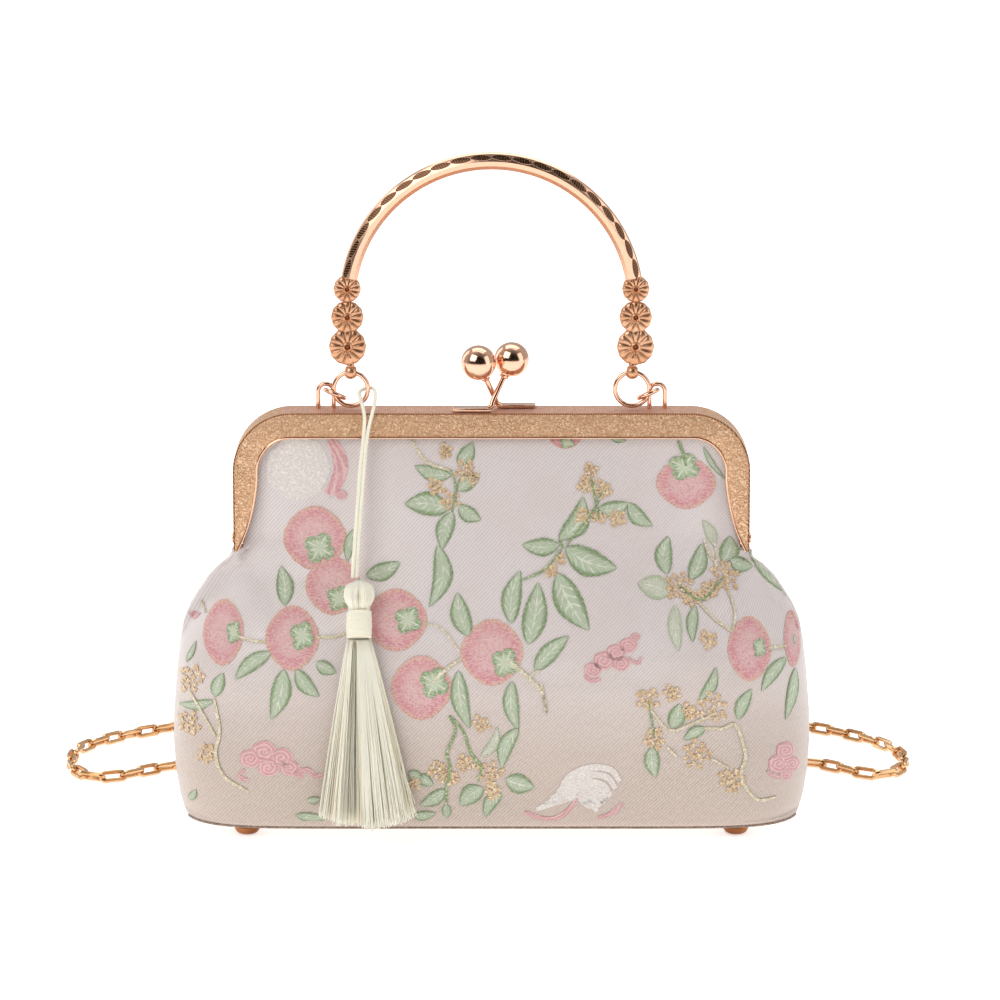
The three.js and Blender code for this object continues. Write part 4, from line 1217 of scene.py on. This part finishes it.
def build_jaws():
    lug_x = FRAME_HALF - FRAME_WALL - 0.3
    margin = LUG_RADIUS + 0.3
    plates, web = build_jaw_channel()
    rear_parts = [turned_half(part, f"rear_{part.name}") for part in plates]
    rear_web = turned_half(web, "rear_web")
    for side in (-1, 1):
        hinge_cut(web, side, lug_x, FRAME_HALF + 1, -margin, 0.2)
        hinge_cut(rear_web, side, lug_x - FRAME_WALL - 0.3, FRAME_HALF - FRAME_WALL, -0.2, margin)
    front = plates + [web]
    rear = rear_parts + [rear_web]
    for side in (-1, 1):
        front += lug(side, lug_x - FRAME_WALL, lug_x, -FRAME_HALF_DEPTH + 0.6, 0)
        rear += lug(side, FRAME_HALF - FRAME_WALL, FRAME_HALF, 0, FRAME_HALF_DEPTH - 0.6)
    finish_piece(join("front_frame", front), "embossed_gold", "root", "embossed_gold", "front_jaw")
    finish_piece(join("rear_frame", rear), "embossed_gold", "root", "embossed_gold", "rear_jaw")
    edge = [(x, -FRAME_HALF_DEPTH + 0.12, z) for x, z in frame_edge(0.25)]
    seam = wires("front_seam", [edge], 0.34, resolution=2)
    lip_edge = [(x, -FRAME_HALF_DEPTH, z) for x, z in frame_inner_edge(0.55)]
    lip = wires("front_lip", [lip_edge], 0.42, resolution=2)
    for piece, look in ((seam, "beaded_seam_painted_shade"), (lip, "polished_gold")):
        rear_piece = turned_half(piece, piece.name.replace("front", "rear"))
        finish_piece(piece, look, "root", "embossed_gold")
        finish_piece(rear_piece, look, "root", "embossed_gold")


def build_staples():
    routes = []
    for side in (-1, 1):
        x = side * STAPLE_X
        foot = FRAME_TOP - 0.6
        arch = [(x + STAPLE_HALF * math.cos(a), STAPLE_Y, STAPLE_TOP + STAPLE_HALF * math.sin(a))
                for a in np.linspace(math.pi, 0, 17)]
        routes.append([(x - STAPLE_HALF, STAPLE_Y, foot), *arch, (x + STAPLE_HALF, STAPLE_Y, foot)])
        eye_y = FRAME_HALF_DEPTH - EYE_SINK
        routes.append([(side * EYE_X, eye_y + EYE_RADIUS * math.cos(a), EYE_HEIGHT + EYE_RADIUS * math.sin(a))
                       for a in np.linspace(math.pi / 2, -math.pi / 2, 19)])
    obj = wires("staples", routes, RING_WIRE, resolution=4)
    finish_piece(obj, "polished_gold", "root", "polished_gold")


def build_rivets():
    lug_x = FRAME_HALF - FRAME_WALL - CLEARANCE
    for word, side in (("left", -1), ("right", 1)):
        inner = lug_x - FRAME_WALL - CLEARANCE
        outer = FRAME_HALF + CLEARANCE
        spans = [
            (RIVET_RADIUS, inner - 0.3, outer + 0.3),
            (RIVET_HEAD_RADIUS, inner - RIVET_HEAD, inner),
            (RIVET_HEAD_RADIUS, outer, outer + RIVET_HEAD),
        ]
        parts = []
        for radius, low, high in spans:
            x0, x1 = (low, high) if side > 0 else (-high, -low)
            parts.append(cylinder_x("rivet", radius, x0, x1, 0, HINGE_HEIGHT, 0.22))
        obj = join(f"rivet_{word}", parts)
        finish_piece(obj, "polished_gold", "root", "polished_gold", f"hinge_rivet_{word}")


def build_lock():
    half_width, half_depth, thickness = LOCK_PLATE
    for name, node, plate_x, ball_x, direction in LOCK_HALVES:
        plate_y = direction * FRAME_HALF_DEPTH / 2
        bottom = FRAME_TOP + CLEARANCE
        top = bottom + thickness
        low = (plate_x - half_width, plate_y - half_depth, bottom)
        high = (plate_x + half_width, plate_y + half_depth, top)
        base = box(name, low, high, 0.45)
        ball_y = -direction * LOCK_BALL_Y
        centre = np.array((ball_x, ball_y, LOCK_BALL_HEIGHT))
        meeting = np.array((LOCK_MEETING_X + direction * 0.4, 0.55 * plate_y, top + 2.4))
        lean = (meeting - centre) / np.linalg.norm(meeting - centre)
        stem = smooth_route([
            (plate_x - direction * 6.1, 0.8 * plate_y, top - 0.5),
            (plate_x - direction * 7.6, 0.7 * plate_y, top + 0.5),
            tuple(meeting),
            tuple(centre + lean * (LOCK_BALL_RADIUS + 3)),
            tuple(centre + lean * 0.7 * LOCK_BALL_RADIUS),
        ], 0.5)
        turn = Vector((0, 0, -1)).rotation_difference(Vector(lean)).to_matrix().to_4x4()
        neck = lathe("collar", COLLAR_PROFILE, tuple(centre + lean * LOCK_BALL_RADIUS), turn, steps=40)
        knob = ball("knob", LOCK_BALL_RADIUS, (ball_x, ball_y, LOCK_BALL_HEIGHT))
        obj = join(name, [base, wires("stem", [stem], LOCK_WIRE, resolution=4), neck, knob])
        finish_piece(obj, "polished_gold", "root", "polished_gold", node)


def build_feet():
    for depth, y in (("front", -FOOT_Y), ("rear", FOOT_Y)):
        for word, x in (("left", -FOOT_X), ("right", FOOT_X)):
            obj = lathe(f"foot_{depth}_{word}_dome", FOOT_PROFILE, (x, y, 0), steps=64)
            finish_piece(obj, "foot_bronze", "root", "foot_bronze", f"foot_{depth}_{word}")


# Handle and rings


def build_arch():
    half, deep = 3.2, 3.0
    section = [
        (-half, -0.5 * deep), (-0.55 * half, -0.95 * deep), (0.0, -deep), (0.5 * half, -0.72 * deep),
        (0.86 * half, -0.42 * deep), (half, -0.18 * deep), (half, 0.18 * deep), (0.86 * half, 0.42 * deep),
        (0.5 * half, 0.72 * deep), (0.0, deep), (-0.55 * half, 0.95 * deep), (-half, 0.5 * deep),
    ]
    start = math.asin((210.1 + 4.4 - HANDLE_CENTRE) / HANDLE_RADIUS)
    profile = bpy.data.curves.new("arch_section", "CURVE")
    profile.dimensions = "2D"
    spline = profile.splines.new("POLY")
    spline.points.add(len(section) - 1)
    for point, (out, y) in zip(spline.points, section):
        point.co = (out * MM, y * MM, 0, 1)
    spline.use_cyclic_u = True
    section_obj = bpy.data.objects.new("arch_section", profile)
    bpy.context.scene.collection.objects.link(section_obj)
    curve = bpy.data.curves.new("arch", "CURVE")
    curve.dimensions = "2D"
    curve.bevel_mode = "OBJECT"
    curve.bevel_object = section_obj
    curve.use_fill_caps = True
    path = curve.splines.new("POLY")
    angles = np.linspace(start, math.pi - start, 161)
    path.points.add(len(angles) - 1)
    for point, angle in zip(path.points, angles):
        point.co = (HANDLE_RADIUS * MM * math.cos(angle), HANDLE_RADIUS * MM * math.sin(angle), 0, 1)
    obj = bpy.data.objects.new("arch", curve)
    bpy.context.scene.collection.objects.link(obj)
    select_only(obj)
    bpy.ops.object.convert(target="MESH")
    obj = bpy.context.view_layer.objects.active
    bpy.data.objects.remove(section_obj)
    turn = Matrix.Rotation(math.radians(90), 4, "X")
    obj.data.transform(Matrix.Translation(to_row((0, 0, HANDLE_CENTRE))) @ turn)
    fix_normals(obj, 0.001)
    shade(obj, 18)
    obj.name = "arch"
    finish_piece(obj, "engraved_gold", "handle", "polished_gold", "handle_arch")


def petal_disc(radius, x, height):
    """A scalloped flower with grooved petals and a dimple in its raised middle; its grooves and dimple carry
    painted shade in a point attribute.
    """
    front = [(0.0, 1.1), (0.09, 1.1), (0.13, 1.9), (0.19, 2.25), (0.25, 2.0), (0.3, 1.5), (0.42, 1.62),
             (0.6, 1.75), (0.78, 1.65), (0.9, 1.35), (0.97, 0.95), (1.0, 0.45)]
    profile = [(share * radius, y) for share, y in front]
    profile += [(r, -y) for r, y in reversed(profile)]
    turn = Matrix.Rotation(math.radians(90), 4, "X")
    obj = lathe("flower", profile, (x, 0, height), turn, steps=120)
    centre = to_row((x, 0, height))
    painted_shade_shares = []
    for vertex in obj.data.vertices:
        away = vertex.co - centre
        reach = math.hypot(away.x, away.z)
        share = reach / (radius * MM)
        wave = math.cos(12 * math.atan2(away.z, away.x))
        groove = (0.5 - 0.5 * wave) ** 4 * smoothstep(share, 0.3, 0.42) * (1 - smoothstep(share, 0.86, 1.0))
        vertex.co.y = centre.y + away.y * (1 - 0.3 * groove)
        scale = 1 + 0.014 * wave * smoothstep(share, 0.75, 1.0)
        vertex.co.x = centre.x + away.x * scale
        vertex.co.z = centre.z + away.z * scale
        # Painted shade: how dark each point is painted, full in the dimple and up to 0.8 in the grooves.
        dimple = 1.0 if share < 0.12 else 0.0
        painted_shade_shares.append(max(dimple, 0.8 * groove))
    attribute = obj.data.attributes.new("cavity", "FLOAT", "POINT")
    attribute.data.foreach_set("value", painted_shade_shares)
    return obj


def build_terminals():
    for word, side in (("left", -1), ("right", 1)):
        x = side * HANDLE_RADIUS
        parts = [petal_disc(5.2, x, 210.1), petal_disc(6.2, x, 199.1), petal_disc(7.1, x, 187.5)]
        ball_x = side * BIG_RING_X
        knob = ball("ball_eye", 2.75, (ball_x, 0, BALL_EYE_HEIGHT), 48)
        bore = cylinder_x("bore", 1.75, ball_x - 4, ball_x + 4, 0, BALL_EYE_HEIGHT, 0)
        cut(knob, bore)
        neck = lathe("neck", NECK_PROFILE,
                     (ball_x, 0, 181.3), steps=32)
        obj = join(f"terminal_{word}", [*parts, shade(knob, 40), neck])
        finish_piece(obj, "cast_gold", "handle", "cast_gold", f"handle_terminal_{word}")


def build_rings():
    for word, side in (("left", -1), ("right", 1)):
        bpy.ops.mesh.primitive_torus_add(
            major_segments=96, minor_segments=24,
            major_radius=BIG_RING_RADIUS * MM, minor_radius=RING_WIRE * MM,
            location=to_row((side * BIG_RING_X, 0, BALL_EYE_HEIGHT - BIG_RING_RADIUS)),
            rotation=(math.radians(90), 0, 0),
        )
        big = shade(bake_place(bpy.context.active_object))
        big.name = f"ring_big_{word}_wire"
        finish_piece(big, "polished_gold", "root", "polished_gold", f"ring_big_{word}")
        axis = Vector((side * SMALL_RING_AXIS[0], *SMALL_RING_AXIS[1:]))
        bpy.ops.mesh.primitive_torus_add(
            major_segments=72, minor_segments=20, major_radius=SMALL_RING_RADIUS * MM,
            minor_radius=RING_WIRE * MM,
            location=to_row((side * SMALL_RING_PLACE[0], *SMALL_RING_PLACE[1:])),
            rotation=Vector((0, 0, 1)).rotation_difference(axis).to_euler(),
        )
        small = shade(bake_place(bpy.context.active_object))
        small.name = f"ring_small_{word}_wire"
        finish_piece(small, "polished_gold", "root", "polished_gold", f"ring_small_{word}")


# Chain


def link_loop(centre, along, side, length, width, wire):
    """The centre line of a long link, around its middle."""
    radius = (width - wire) / 2
    straight = (length - width) / 2
    loop = []
    for end in (1, -1):
        for angle in np.linspace(-math.pi / 2, math.pi / 2, 9):
            out = end * (straight + radius * math.cos(angle))
            loop.append(centre + along * out + side * end * radius * math.sin(angle))
    return loop


def build_chain(settings):
    route = smooth_route(CHAIN_ROUTE, 0.5)
    along, _ = route_frames(route)
    ways = np.concatenate([[0], np.cumsum(np.linalg.norm(np.diff(route, axis=0), axis=1))])
    margin = 2.7
    pitch = settings.chain_pitch * 1000
    count = round((ways[-1] - 2 * margin) / pitch) + 1
    loops = []
    for i, way in enumerate(np.linspace(margin, ways[-1] - margin, count)):
        k = int(np.searchsorted(ways, way).clip(0, len(route) - 1))
        direction = along[k]
        side = np.cross((0.0, 0.0, 1.0), direction)
        side /= np.linalg.norm(side)
        other = np.cross(direction, side)
        roll = math.radians(45 if i % 2 else -45)
        turned = side * math.cos(roll) + other * math.sin(roll)
        loops.append(link_loop(route[k], direction, turned, pitch + LINK_OVERLAP, LINK_WIDTH, LINK_WIRE))
    obj = wires("chain_links", loops, LINK_WIRE / 2, closed=True, resolution=2)
    finish_piece(obj, "chain_gold", "root", "chain_gold", "shoulder_chain")
    lean = 0.34
    for word, x in (("left", -EYE_X), ("right", EYE_X)):
        centre_y = FRAME_HALF_DEPTH + 1.35 + 4.5 * math.sin(lean)
        centre = np.array((x, centre_y, EYE_HEIGHT - 4.05 * math.cos(lean)))
        direction = np.array((0, math.sin(lean), -math.cos(lean)))
        loop = link_loop(centre, direction, np.array((1.0, 0, 0)), 10.5, 5.5, 1.5)
        end = wires(f"end_link_{word}", [loop], 0.75, closed=True, resolution=4)
        finish_piece(end, "chain_gold", "root", "chain_gold", f"chain_end_link_{word}")


# Tassel


def tassel_places():
    waist_y = -bag_depth(TASSEL_X / bag_size(TASSEL_WAIST)[0], TASSEL_WAIST) - 5.9
    head_z = TASSEL_HEAD_TOP - TASSEL_HEAD_RADIUS
    head_y = -bag_depth(TASSEL_X / bag_size(head_z)[0], head_z) - TASSEL_HEAD_RADIUS - 1.5
    return waist_y, head_y


def build_cord():
    line = smooth_route(CORD_ROUTE, 0.6)
    line = [(*point, CORD_DIAMETER / 2) for point in line]
    obj = thread_mesh("cord", [line], sides=16)
    finish_piece(obj, "tassel_silk", "root", "tassel_silk", "tassel_cord")
    return obj


def build_head():
    """Folded threads that bulge round a small drop-shaped opening."""
    waist_y, head_y = tassel_places()
    routes = []
    dice = random.Random(5)
    count = 150
    for i in range(count):
        angle = 2 * math.pi * (i + dice.uniform(-0.4, 0.4)) / count
        c, s = math.cos(angle), math.sin(angle)
        layer = dice.uniform(0.86, 1.0)
        route = []
        for t in np.linspace(0, 1, 15):
            swell = math.sin(math.pi * clamp(0.16 + 0.74 * t)) ** 0.7
            top = smoothstep(t, 0.0, 0.22)
            radius = layer * blend(1.1, TASSEL_HEAD_RADIUS * swell, top)
            radius = blend(radius, 4.0 * layer, smoothstep(t, 0.72, 1.0))
            part = 1 - 0.42 * math.exp(-((t - 0.42) / 0.2) ** 2) * math.exp(-(c / 0.22) ** 2) * (s < 0)
            z = blend(TASSEL_HEAD_TOP + 0.3, 91.6, t)
            y = blend(head_y, blend(waist_y, head_y, 0.7), t)
            route.append((TASSEL_X + radius * c, y + radius * s * part * 0.96, z, 0.3))
        routes.append(route)
    obj = thread_mesh("tassel_head", routes, sides=5)
    profile = [(0, 91), (3.6, 91), (4.2, 93), (4.6, 96), (4.2, 99.5), (2.4, 101.8), (0, 102.3)]
    core = lathe("head_core", profile, (TASSEL_X, head_y, 0), steps=32)
    core.data.uv_layers.new(name="UVMap")
    return [obj, core]


def build_wrap():
    waist_y, head_y = tassel_places()
    head_middle = TASSEL_HEAD_TOP - TASSEL_HEAD_RADIUS
    centre_y = blend(waist_y, head_y, 0.36)
    centre_z = blend(TASSEL_WAIST, head_middle, 0.36)
    lean = math.atan2(head_y - waist_y, head_middle - TASSEL_WAIST)
    turn = Matrix.Rotation(-lean, 4, "X")
    turns, radius = 15, 4.55
    route = []
    for i in range(turns * 40 + 1):
        angle = 2 * math.pi * i / 40
        rise = -5.1 + 10.2 * i / (turns * 40)
        reach = radius + 0.12 * math.cos(rise * 0.55)
        spot = turn @ Vector((reach * math.cos(angle), reach * math.sin(angle), rise))
        route.append((TASSEL_X + spot.x, centre_y + spot.y, centre_z + spot.z, 0.4))
    coil = thread_mesh("tassel_binding", [route], sides=8)
    core = lathe("wrap_core", [(0, -5.3), (4.4, -5.3), (4.55, 0), (4.4, 5.3), (0, 5.3)],
                 (TASSEL_X, centre_y, centre_z), turn, steps=48)
    core.data.uv_layers.new(name="UVMap")
    obj = join("tassel_binding", [coil, core])
    finish_piece(obj, "tassel_silk", "root", "tassel_silk", "tassel_wrap")


def build_skirt(settings):
    waist_y, _ = tassel_places()
    dice = random.Random(23)
    lean_y = min(-panel(TASSEL_X + 17, 36) - 4.0, waist_y + 0.8)
    locks = [(dice.uniform(-1, 1), dice.uniform(0, 1)) for _ in range(46)]
    routes = []
    for i in range(settings.tassel_threads):
        lock_share, lock_depth = locks[i % len(locks)]
        share = clamp(lock_share + dice.gauss(0, 0.07), -1.04, 1.04)
        depth = clamp(lock_depth + dice.gauss(0, 0.1))
        round_edge = math.sqrt(max(0.0, 1 - share * share))
        top_x = TASSEL_X + 4.1 * share
        top_y = waist_y + (1.6 - 5.0 * depth) * (0.35 + 0.65 * round_edge)
        hem_x = TASSEL_X + 2.6 + 17.2 * share + dice.gauss(0, 0.35)
        hem_y = lean_y + 2.2 - 9.6 * depth * (0.3 + 0.7 * round_edge)
        hem = TASSEL_HEM - 1.6 + 2.6 * share * share + dice.uniform(-0.9, 1.1)
        if dice.random() < 0.05:
            hem += dice.uniform(1, 6)
        sway = dice.uniform(-0.35, 0.35)
        phase = dice.uniform(0, 6.28)
        route = []
        for t in np.linspace(0, 1, 17):
            z = blend(TASSEL_WAIST + 1.5, hem, t)
            spread = t ** 0.92
            x = blend(top_x, hem_x, spread) + sway * math.sin(5 * t + phase) * t
            y = blend(top_y, hem_y, smoothstep(t, 0.0, 0.75))
            y = min(y, -panel(x, z) - 0.9)
            radius = 0.27 * (1 - 0.4 * t)
            route.append((x, y, z, radius))
        routes.append(route)
    for i in range(7):
        share = dice.uniform(0.6, 1.0)
        end_x = TASSEL_X + 2.6 + 17.5 * share + dice.uniform(1, 4)
        route = []
        for t in np.linspace(0, 1, 15):
            z = blend(TASSEL_WAIST, TASSEL_HEM + dice.uniform(0, 0.2) + i, t)
            x = blend(TASSEL_X + 3.8 * share, end_x, t ** 1.3)
            y = min(blend(waist_y, lean_y, t), -panel(x, z) - 1.0)
            route.append((x, y, z, 0.13))
        routes.append(route)
    return thread_mesh("skirt", routes, sides=4)


def build_tassel(settings):
    parts = [*build_head(), build_skirt(settings)]
    obj = join("tassel_threads", parts)
    finish_piece(obj, "tassel_silk", "root", "tassel_silk", "tassel")
    build_wrap()


# Stage


def area_light(name, energy, size, place, target, colour=(1, 1, 1)):
    bpy.ops.object.light_add(type="AREA", location=place)
    light = bpy.context.active_object
    light.name = name
    light.data.energy = energy
    light.data.shape = "RECTANGLE"
    light.data.size, light.data.size_y = size
    light.data.color = colour
    light.rotation_euler = (Vector(target) - Vector(place)).to_track_quat("-Z", "Y").to_euler()


def build_stage():
    bpy.ops.mesh.primitive_plane_add(size=24, location=(0, 4, -0.0002))
    floor = bake_place(bpy.context.active_object)
    floor.name = "floor"
    floor.data.materials.append(material("pale_floor"))
    target = (0, -0.05, 0.1)
    area_light("key", 26, (1.7, 1.7), (-1.3, -1.5, 1.7), target, (1.0, 0.985, 0.965))
    area_light("fill", 9, (1.2, 1.8), (1.9, -0.9, 0.9), target)
    area_light("top", 13, (2.0, 1.2), (0.1, 0.4, 1.9), target)
    area_light("rim", 5, (0.8, 1.6), (-1.6, 1.1, 0.9), target)
    world = bpy.data.worlds.new("studio")
    bpy.context.scene.world = world
    world.use_nodes = True
    nodes, links = world.node_tree.nodes, world.node_tree.links
    background = nodes["Background"]
    place = nodes.new("ShaderNodeTexCoord")
    split = nodes.new("ShaderNodeSeparateXYZ")
    ramp = nodes.new("ShaderNodeMapRange")
    ramp.inputs["From Min"].default_value = -0.72
    ramp.inputs["From Max"].default_value = 0.1
    ramp.inputs["To Min"].default_value = 0.03
    ramp.inputs["To Max"].default_value = 1.0
    links.new(place.outputs["Generated"], split.inputs[0])
    links.new(split.outputs[1], ramp.inputs["Value"])
    links.new(ramp.outputs[0], background.inputs["Color"])
    background.inputs["Strength"].default_value = 0.55
    bpy.context.scene.view_settings.view_transform = "Standard"


def build_camera():
    camera = bpy.data.cameras.new("camera")
    camera.lens = CAMERA_LENS
    camera.sensor_width = 36
    camera.clip_end = 50
    obj = bpy.data.objects.new("camera", camera)
    bpy.context.scene.collection.objects.link(obj)
    obj.location = to_row(CAMERA_PLACE)
    obj.rotation_euler = (math.radians(CAMERA_TILT), 0, 0)
    bpy.context.scene.camera = obj


def build_materials(settings):
    satin_material(settings)
    leaf_material("leaf_thread", settings.leaf_colour, srgb(180, 194, 166), srgb(222, 224, 208))
    leaf_material("pale_leaf_thread", srgb(176, 188, 156), srgb(206, 208, 190), srgb(232, 228, 214))
    persimmon_material(settings)
    calyx_material()
    floss_material("osmanthus_thread", srgb(220, 192, 156), srgb(240, 222, 192), srgb(196, 160, 120))
    floss_material("twig_thread", srgb(222, 210, 186), srgb(240, 232, 214), srgb(190, 178, 140))
    floss_material("stem_thread", srgb(150, 168, 122), srgb(196, 206, 172), srgb(118, 140, 92))
    # Painted shadow: dark taupe thread for the cord along the bottom edge.
    floss_material("bottom_shadow_thread", srgb(158, 136, 122), srgb(182, 160, 146), srgb(126, 104, 90))
    lobe_material("cloud_thread", srgb(212, 150, 156), srgb(226, 184, 182), 2.6)
    floss_material("pale_thread", srgb(228, 220, 215), srgb(236, 230, 225), srgb(214, 205, 199))
    embossed_material()
    beading_material()
    arch_material(settings)
    metal_material("polished_gold", settings.gold_colour, srgb(228, 180, 152), 0.1, 900, 0.03)
    metal_material("cast_gold", srgb(224, 176, 142), srgb(208, 156, 120), 0.3, 1400, 0.3, cavity=True)
    metal_material("chain_gold", srgb(232, 190, 144), srgb(216, 168, 120), 0.2, 900, 0.1)
    metal_material("foot_bronze", srgb(172, 116, 74), srgb(142, 90, 56), 0.3, 900, 0.1)
    silk_material(settings)
    floor_material()


# Add-on


def colour_property(name, description, values):
    return bpy.props.FloatVectorProperty(
        name=name, description=description, subtype="COLOR", size=4, min=0, max=1, default=srgb(*values),
    )


class PurseSettings(bpy.types.PropertyGroup):
    satin_colour: colour_property("Satin", "Colour of the satin ground", (228, 219, 217))
    leaf_colour: colour_property("Leaves", "Colour of the leaves' edges", (118, 142, 98))
    persimmon_colour: colour_property("Persimmons", "Colour of the fruits' edges", (210, 142, 150))
    gold_colour: colour_property("Gold", "Colour of the frame and the handle", (236, 191, 163))
    tassel_colour: colour_property("Tassel", "Colour of the tassel's silk", (249, 243, 220))
    twill_pitch: bpy.props.FloatProperty(
        name="Twill pitch", description="Distance between the satin's diagonal lines",
        default=0.00105, min=0.0004, max=0.004, unit="LENGTH",
    )
    chain_pitch: bpy.props.FloatProperty(
        name="Chain pitch", description="Distance from one chain link to the next",
        default=0.0085, min=0.006, max=0.012, unit="LENGTH",
    )
    tassel_threads: bpy.props.IntProperty(
        name="Tassel threads", description="Number of threads in the tassel's skirt",
        default=820, min=100, max=1400,
    )


class PurseOperator(bpy.types.Operator):
    """Builds a part of the purse"""

    bl_idname = "purse.part"
    bl_label = "Build Part"
    bl_options = {"REGISTER", "UNDO"}
    steps = ()

    def execute(self, context):
        for step in self.steps:
            step(context.scene.purse)
        return {"FINISHED"}


class PURSE_OT_stage(PurseOperator):
    """Sets up the camera, floor and lights"""

    bl_idname = "purse.stage"
    bl_label = "Build Stage"
    steps = (build_materials, lambda s: build_camera(), lambda s: build_stage())


class PURSE_OT_cord(PurseOperator):
    """Builds the tassel's doubled cord"""

    bl_idname = "purse.cord"
    bl_label = "Build Cord"
    steps = (lambda s: build_cord(),)


class PURSE_OT_bag(PurseOperator):
    """Builds the brocade bag and the dark cord along its bottom edge that stands for the shadow line there"""

    bl_idname = "purse.bag"
    bl_label = "Build Bag"
    steps = (lambda s: build_bag(), lambda s: build_bottom_shadow_cord())


class PURSE_OT_pattern(PurseOperator):
    """Lays the woven pattern on both sides of the bag"""

    bl_idname = "purse.pattern"
    bl_label = "Build Pattern"
    steps = (
        lambda s: build_clouds(), lambda s: build_persimmons(), lambda s: build_leaves(),
        lambda s: build_blossoms(), lambda s: build_twigs(),
    )


class PURSE_OT_frame(PurseOperator):
    """Builds the clasp frame with its staples, rivets and feet"""

    bl_idname = "purse.frame"
    bl_label = "Build Frame"
    steps = (
        lambda s: build_jaws(), lambda s: build_staples(), lambda s: build_rivets(), lambda s: build_feet(),
    )


class PURSE_OT_lock(PurseOperator):
    """Builds both halves of the ball lock"""

    bl_idname = "purse.lock"
    bl_label = "Build Lock"
    steps = (lambda s: build_lock(),)


class PURSE_OT_handle(PurseOperator):
    """Builds the engraved handle, its flowers and its rings"""

    bl_idname = "purse.handle"
    bl_label = "Build Handle"
    steps = (lambda s: build_arch(), lambda s: build_terminals(), lambda s: build_rings())


class PURSE_OT_chain(PurseOperator):
    """Builds the shoulder chain's links"""

    bl_idname = "purse.chain"
    bl_label = "Build Chain"
    steps = (build_chain,)


class PURSE_OT_tassel(PurseOperator):
    """Builds the tassel's head, binding and skirt"""

    bl_idname = "purse.tassel"
    bl_label = "Build Tassel"
    steps = (build_tassel,)


OPERATORS = (
    PURSE_OT_stage, PURSE_OT_cord, PURSE_OT_bag, PURSE_OT_pattern, PURSE_OT_frame,
    PURSE_OT_lock, PURSE_OT_handle, PURSE_OT_chain, PURSE_OT_tassel,
)


class PURSE_PT_panel(bpy.types.Panel):
    bl_label = "Purse"
    bl_idname = "PURSE_PT_panel"
    bl_space_type = "VIEW_3D"
    bl_region_type = "UI"
    bl_category = "Purse"

    def draw(self, context):
        settings = context.scene.purse
        for name in PurseSettings.__annotations__:
            self.layout.prop(settings, name)
        for operator in OPERATORS:
            self.layout.operator(operator.bl_idname)


CLASSES = (PurseSettings, *OPERATORS, PURSE_PT_panel)


def register():
    for cls in CLASSES:
        bpy.utils.register_class(cls)
    bpy.types.Scene.purse = bpy.props.PointerProperty(type=PurseSettings)


def unregister():
    del bpy.types.Scene.purse
    for cls in reversed(CLASSES):
        bpy.utils.unregister_class(cls)


def declare_cord():
    line = smooth_route(CORD_ROUTE, 0.6)


def main():
    register()
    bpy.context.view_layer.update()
    bpy.ops.purse.stage()
    bpy.ops.purse.cord()
    bpy.ops.purse.bag()
    bpy.ops.purse.pattern()
    bpy.ops.purse.frame()
    bpy.ops.purse.lock()
    bpy.ops.purse.handle()
    bpy.ops.purse.chain()
    bpy.ops.purse.tassel()
    declare_cord()


if __name__ == "__main__":
    main()
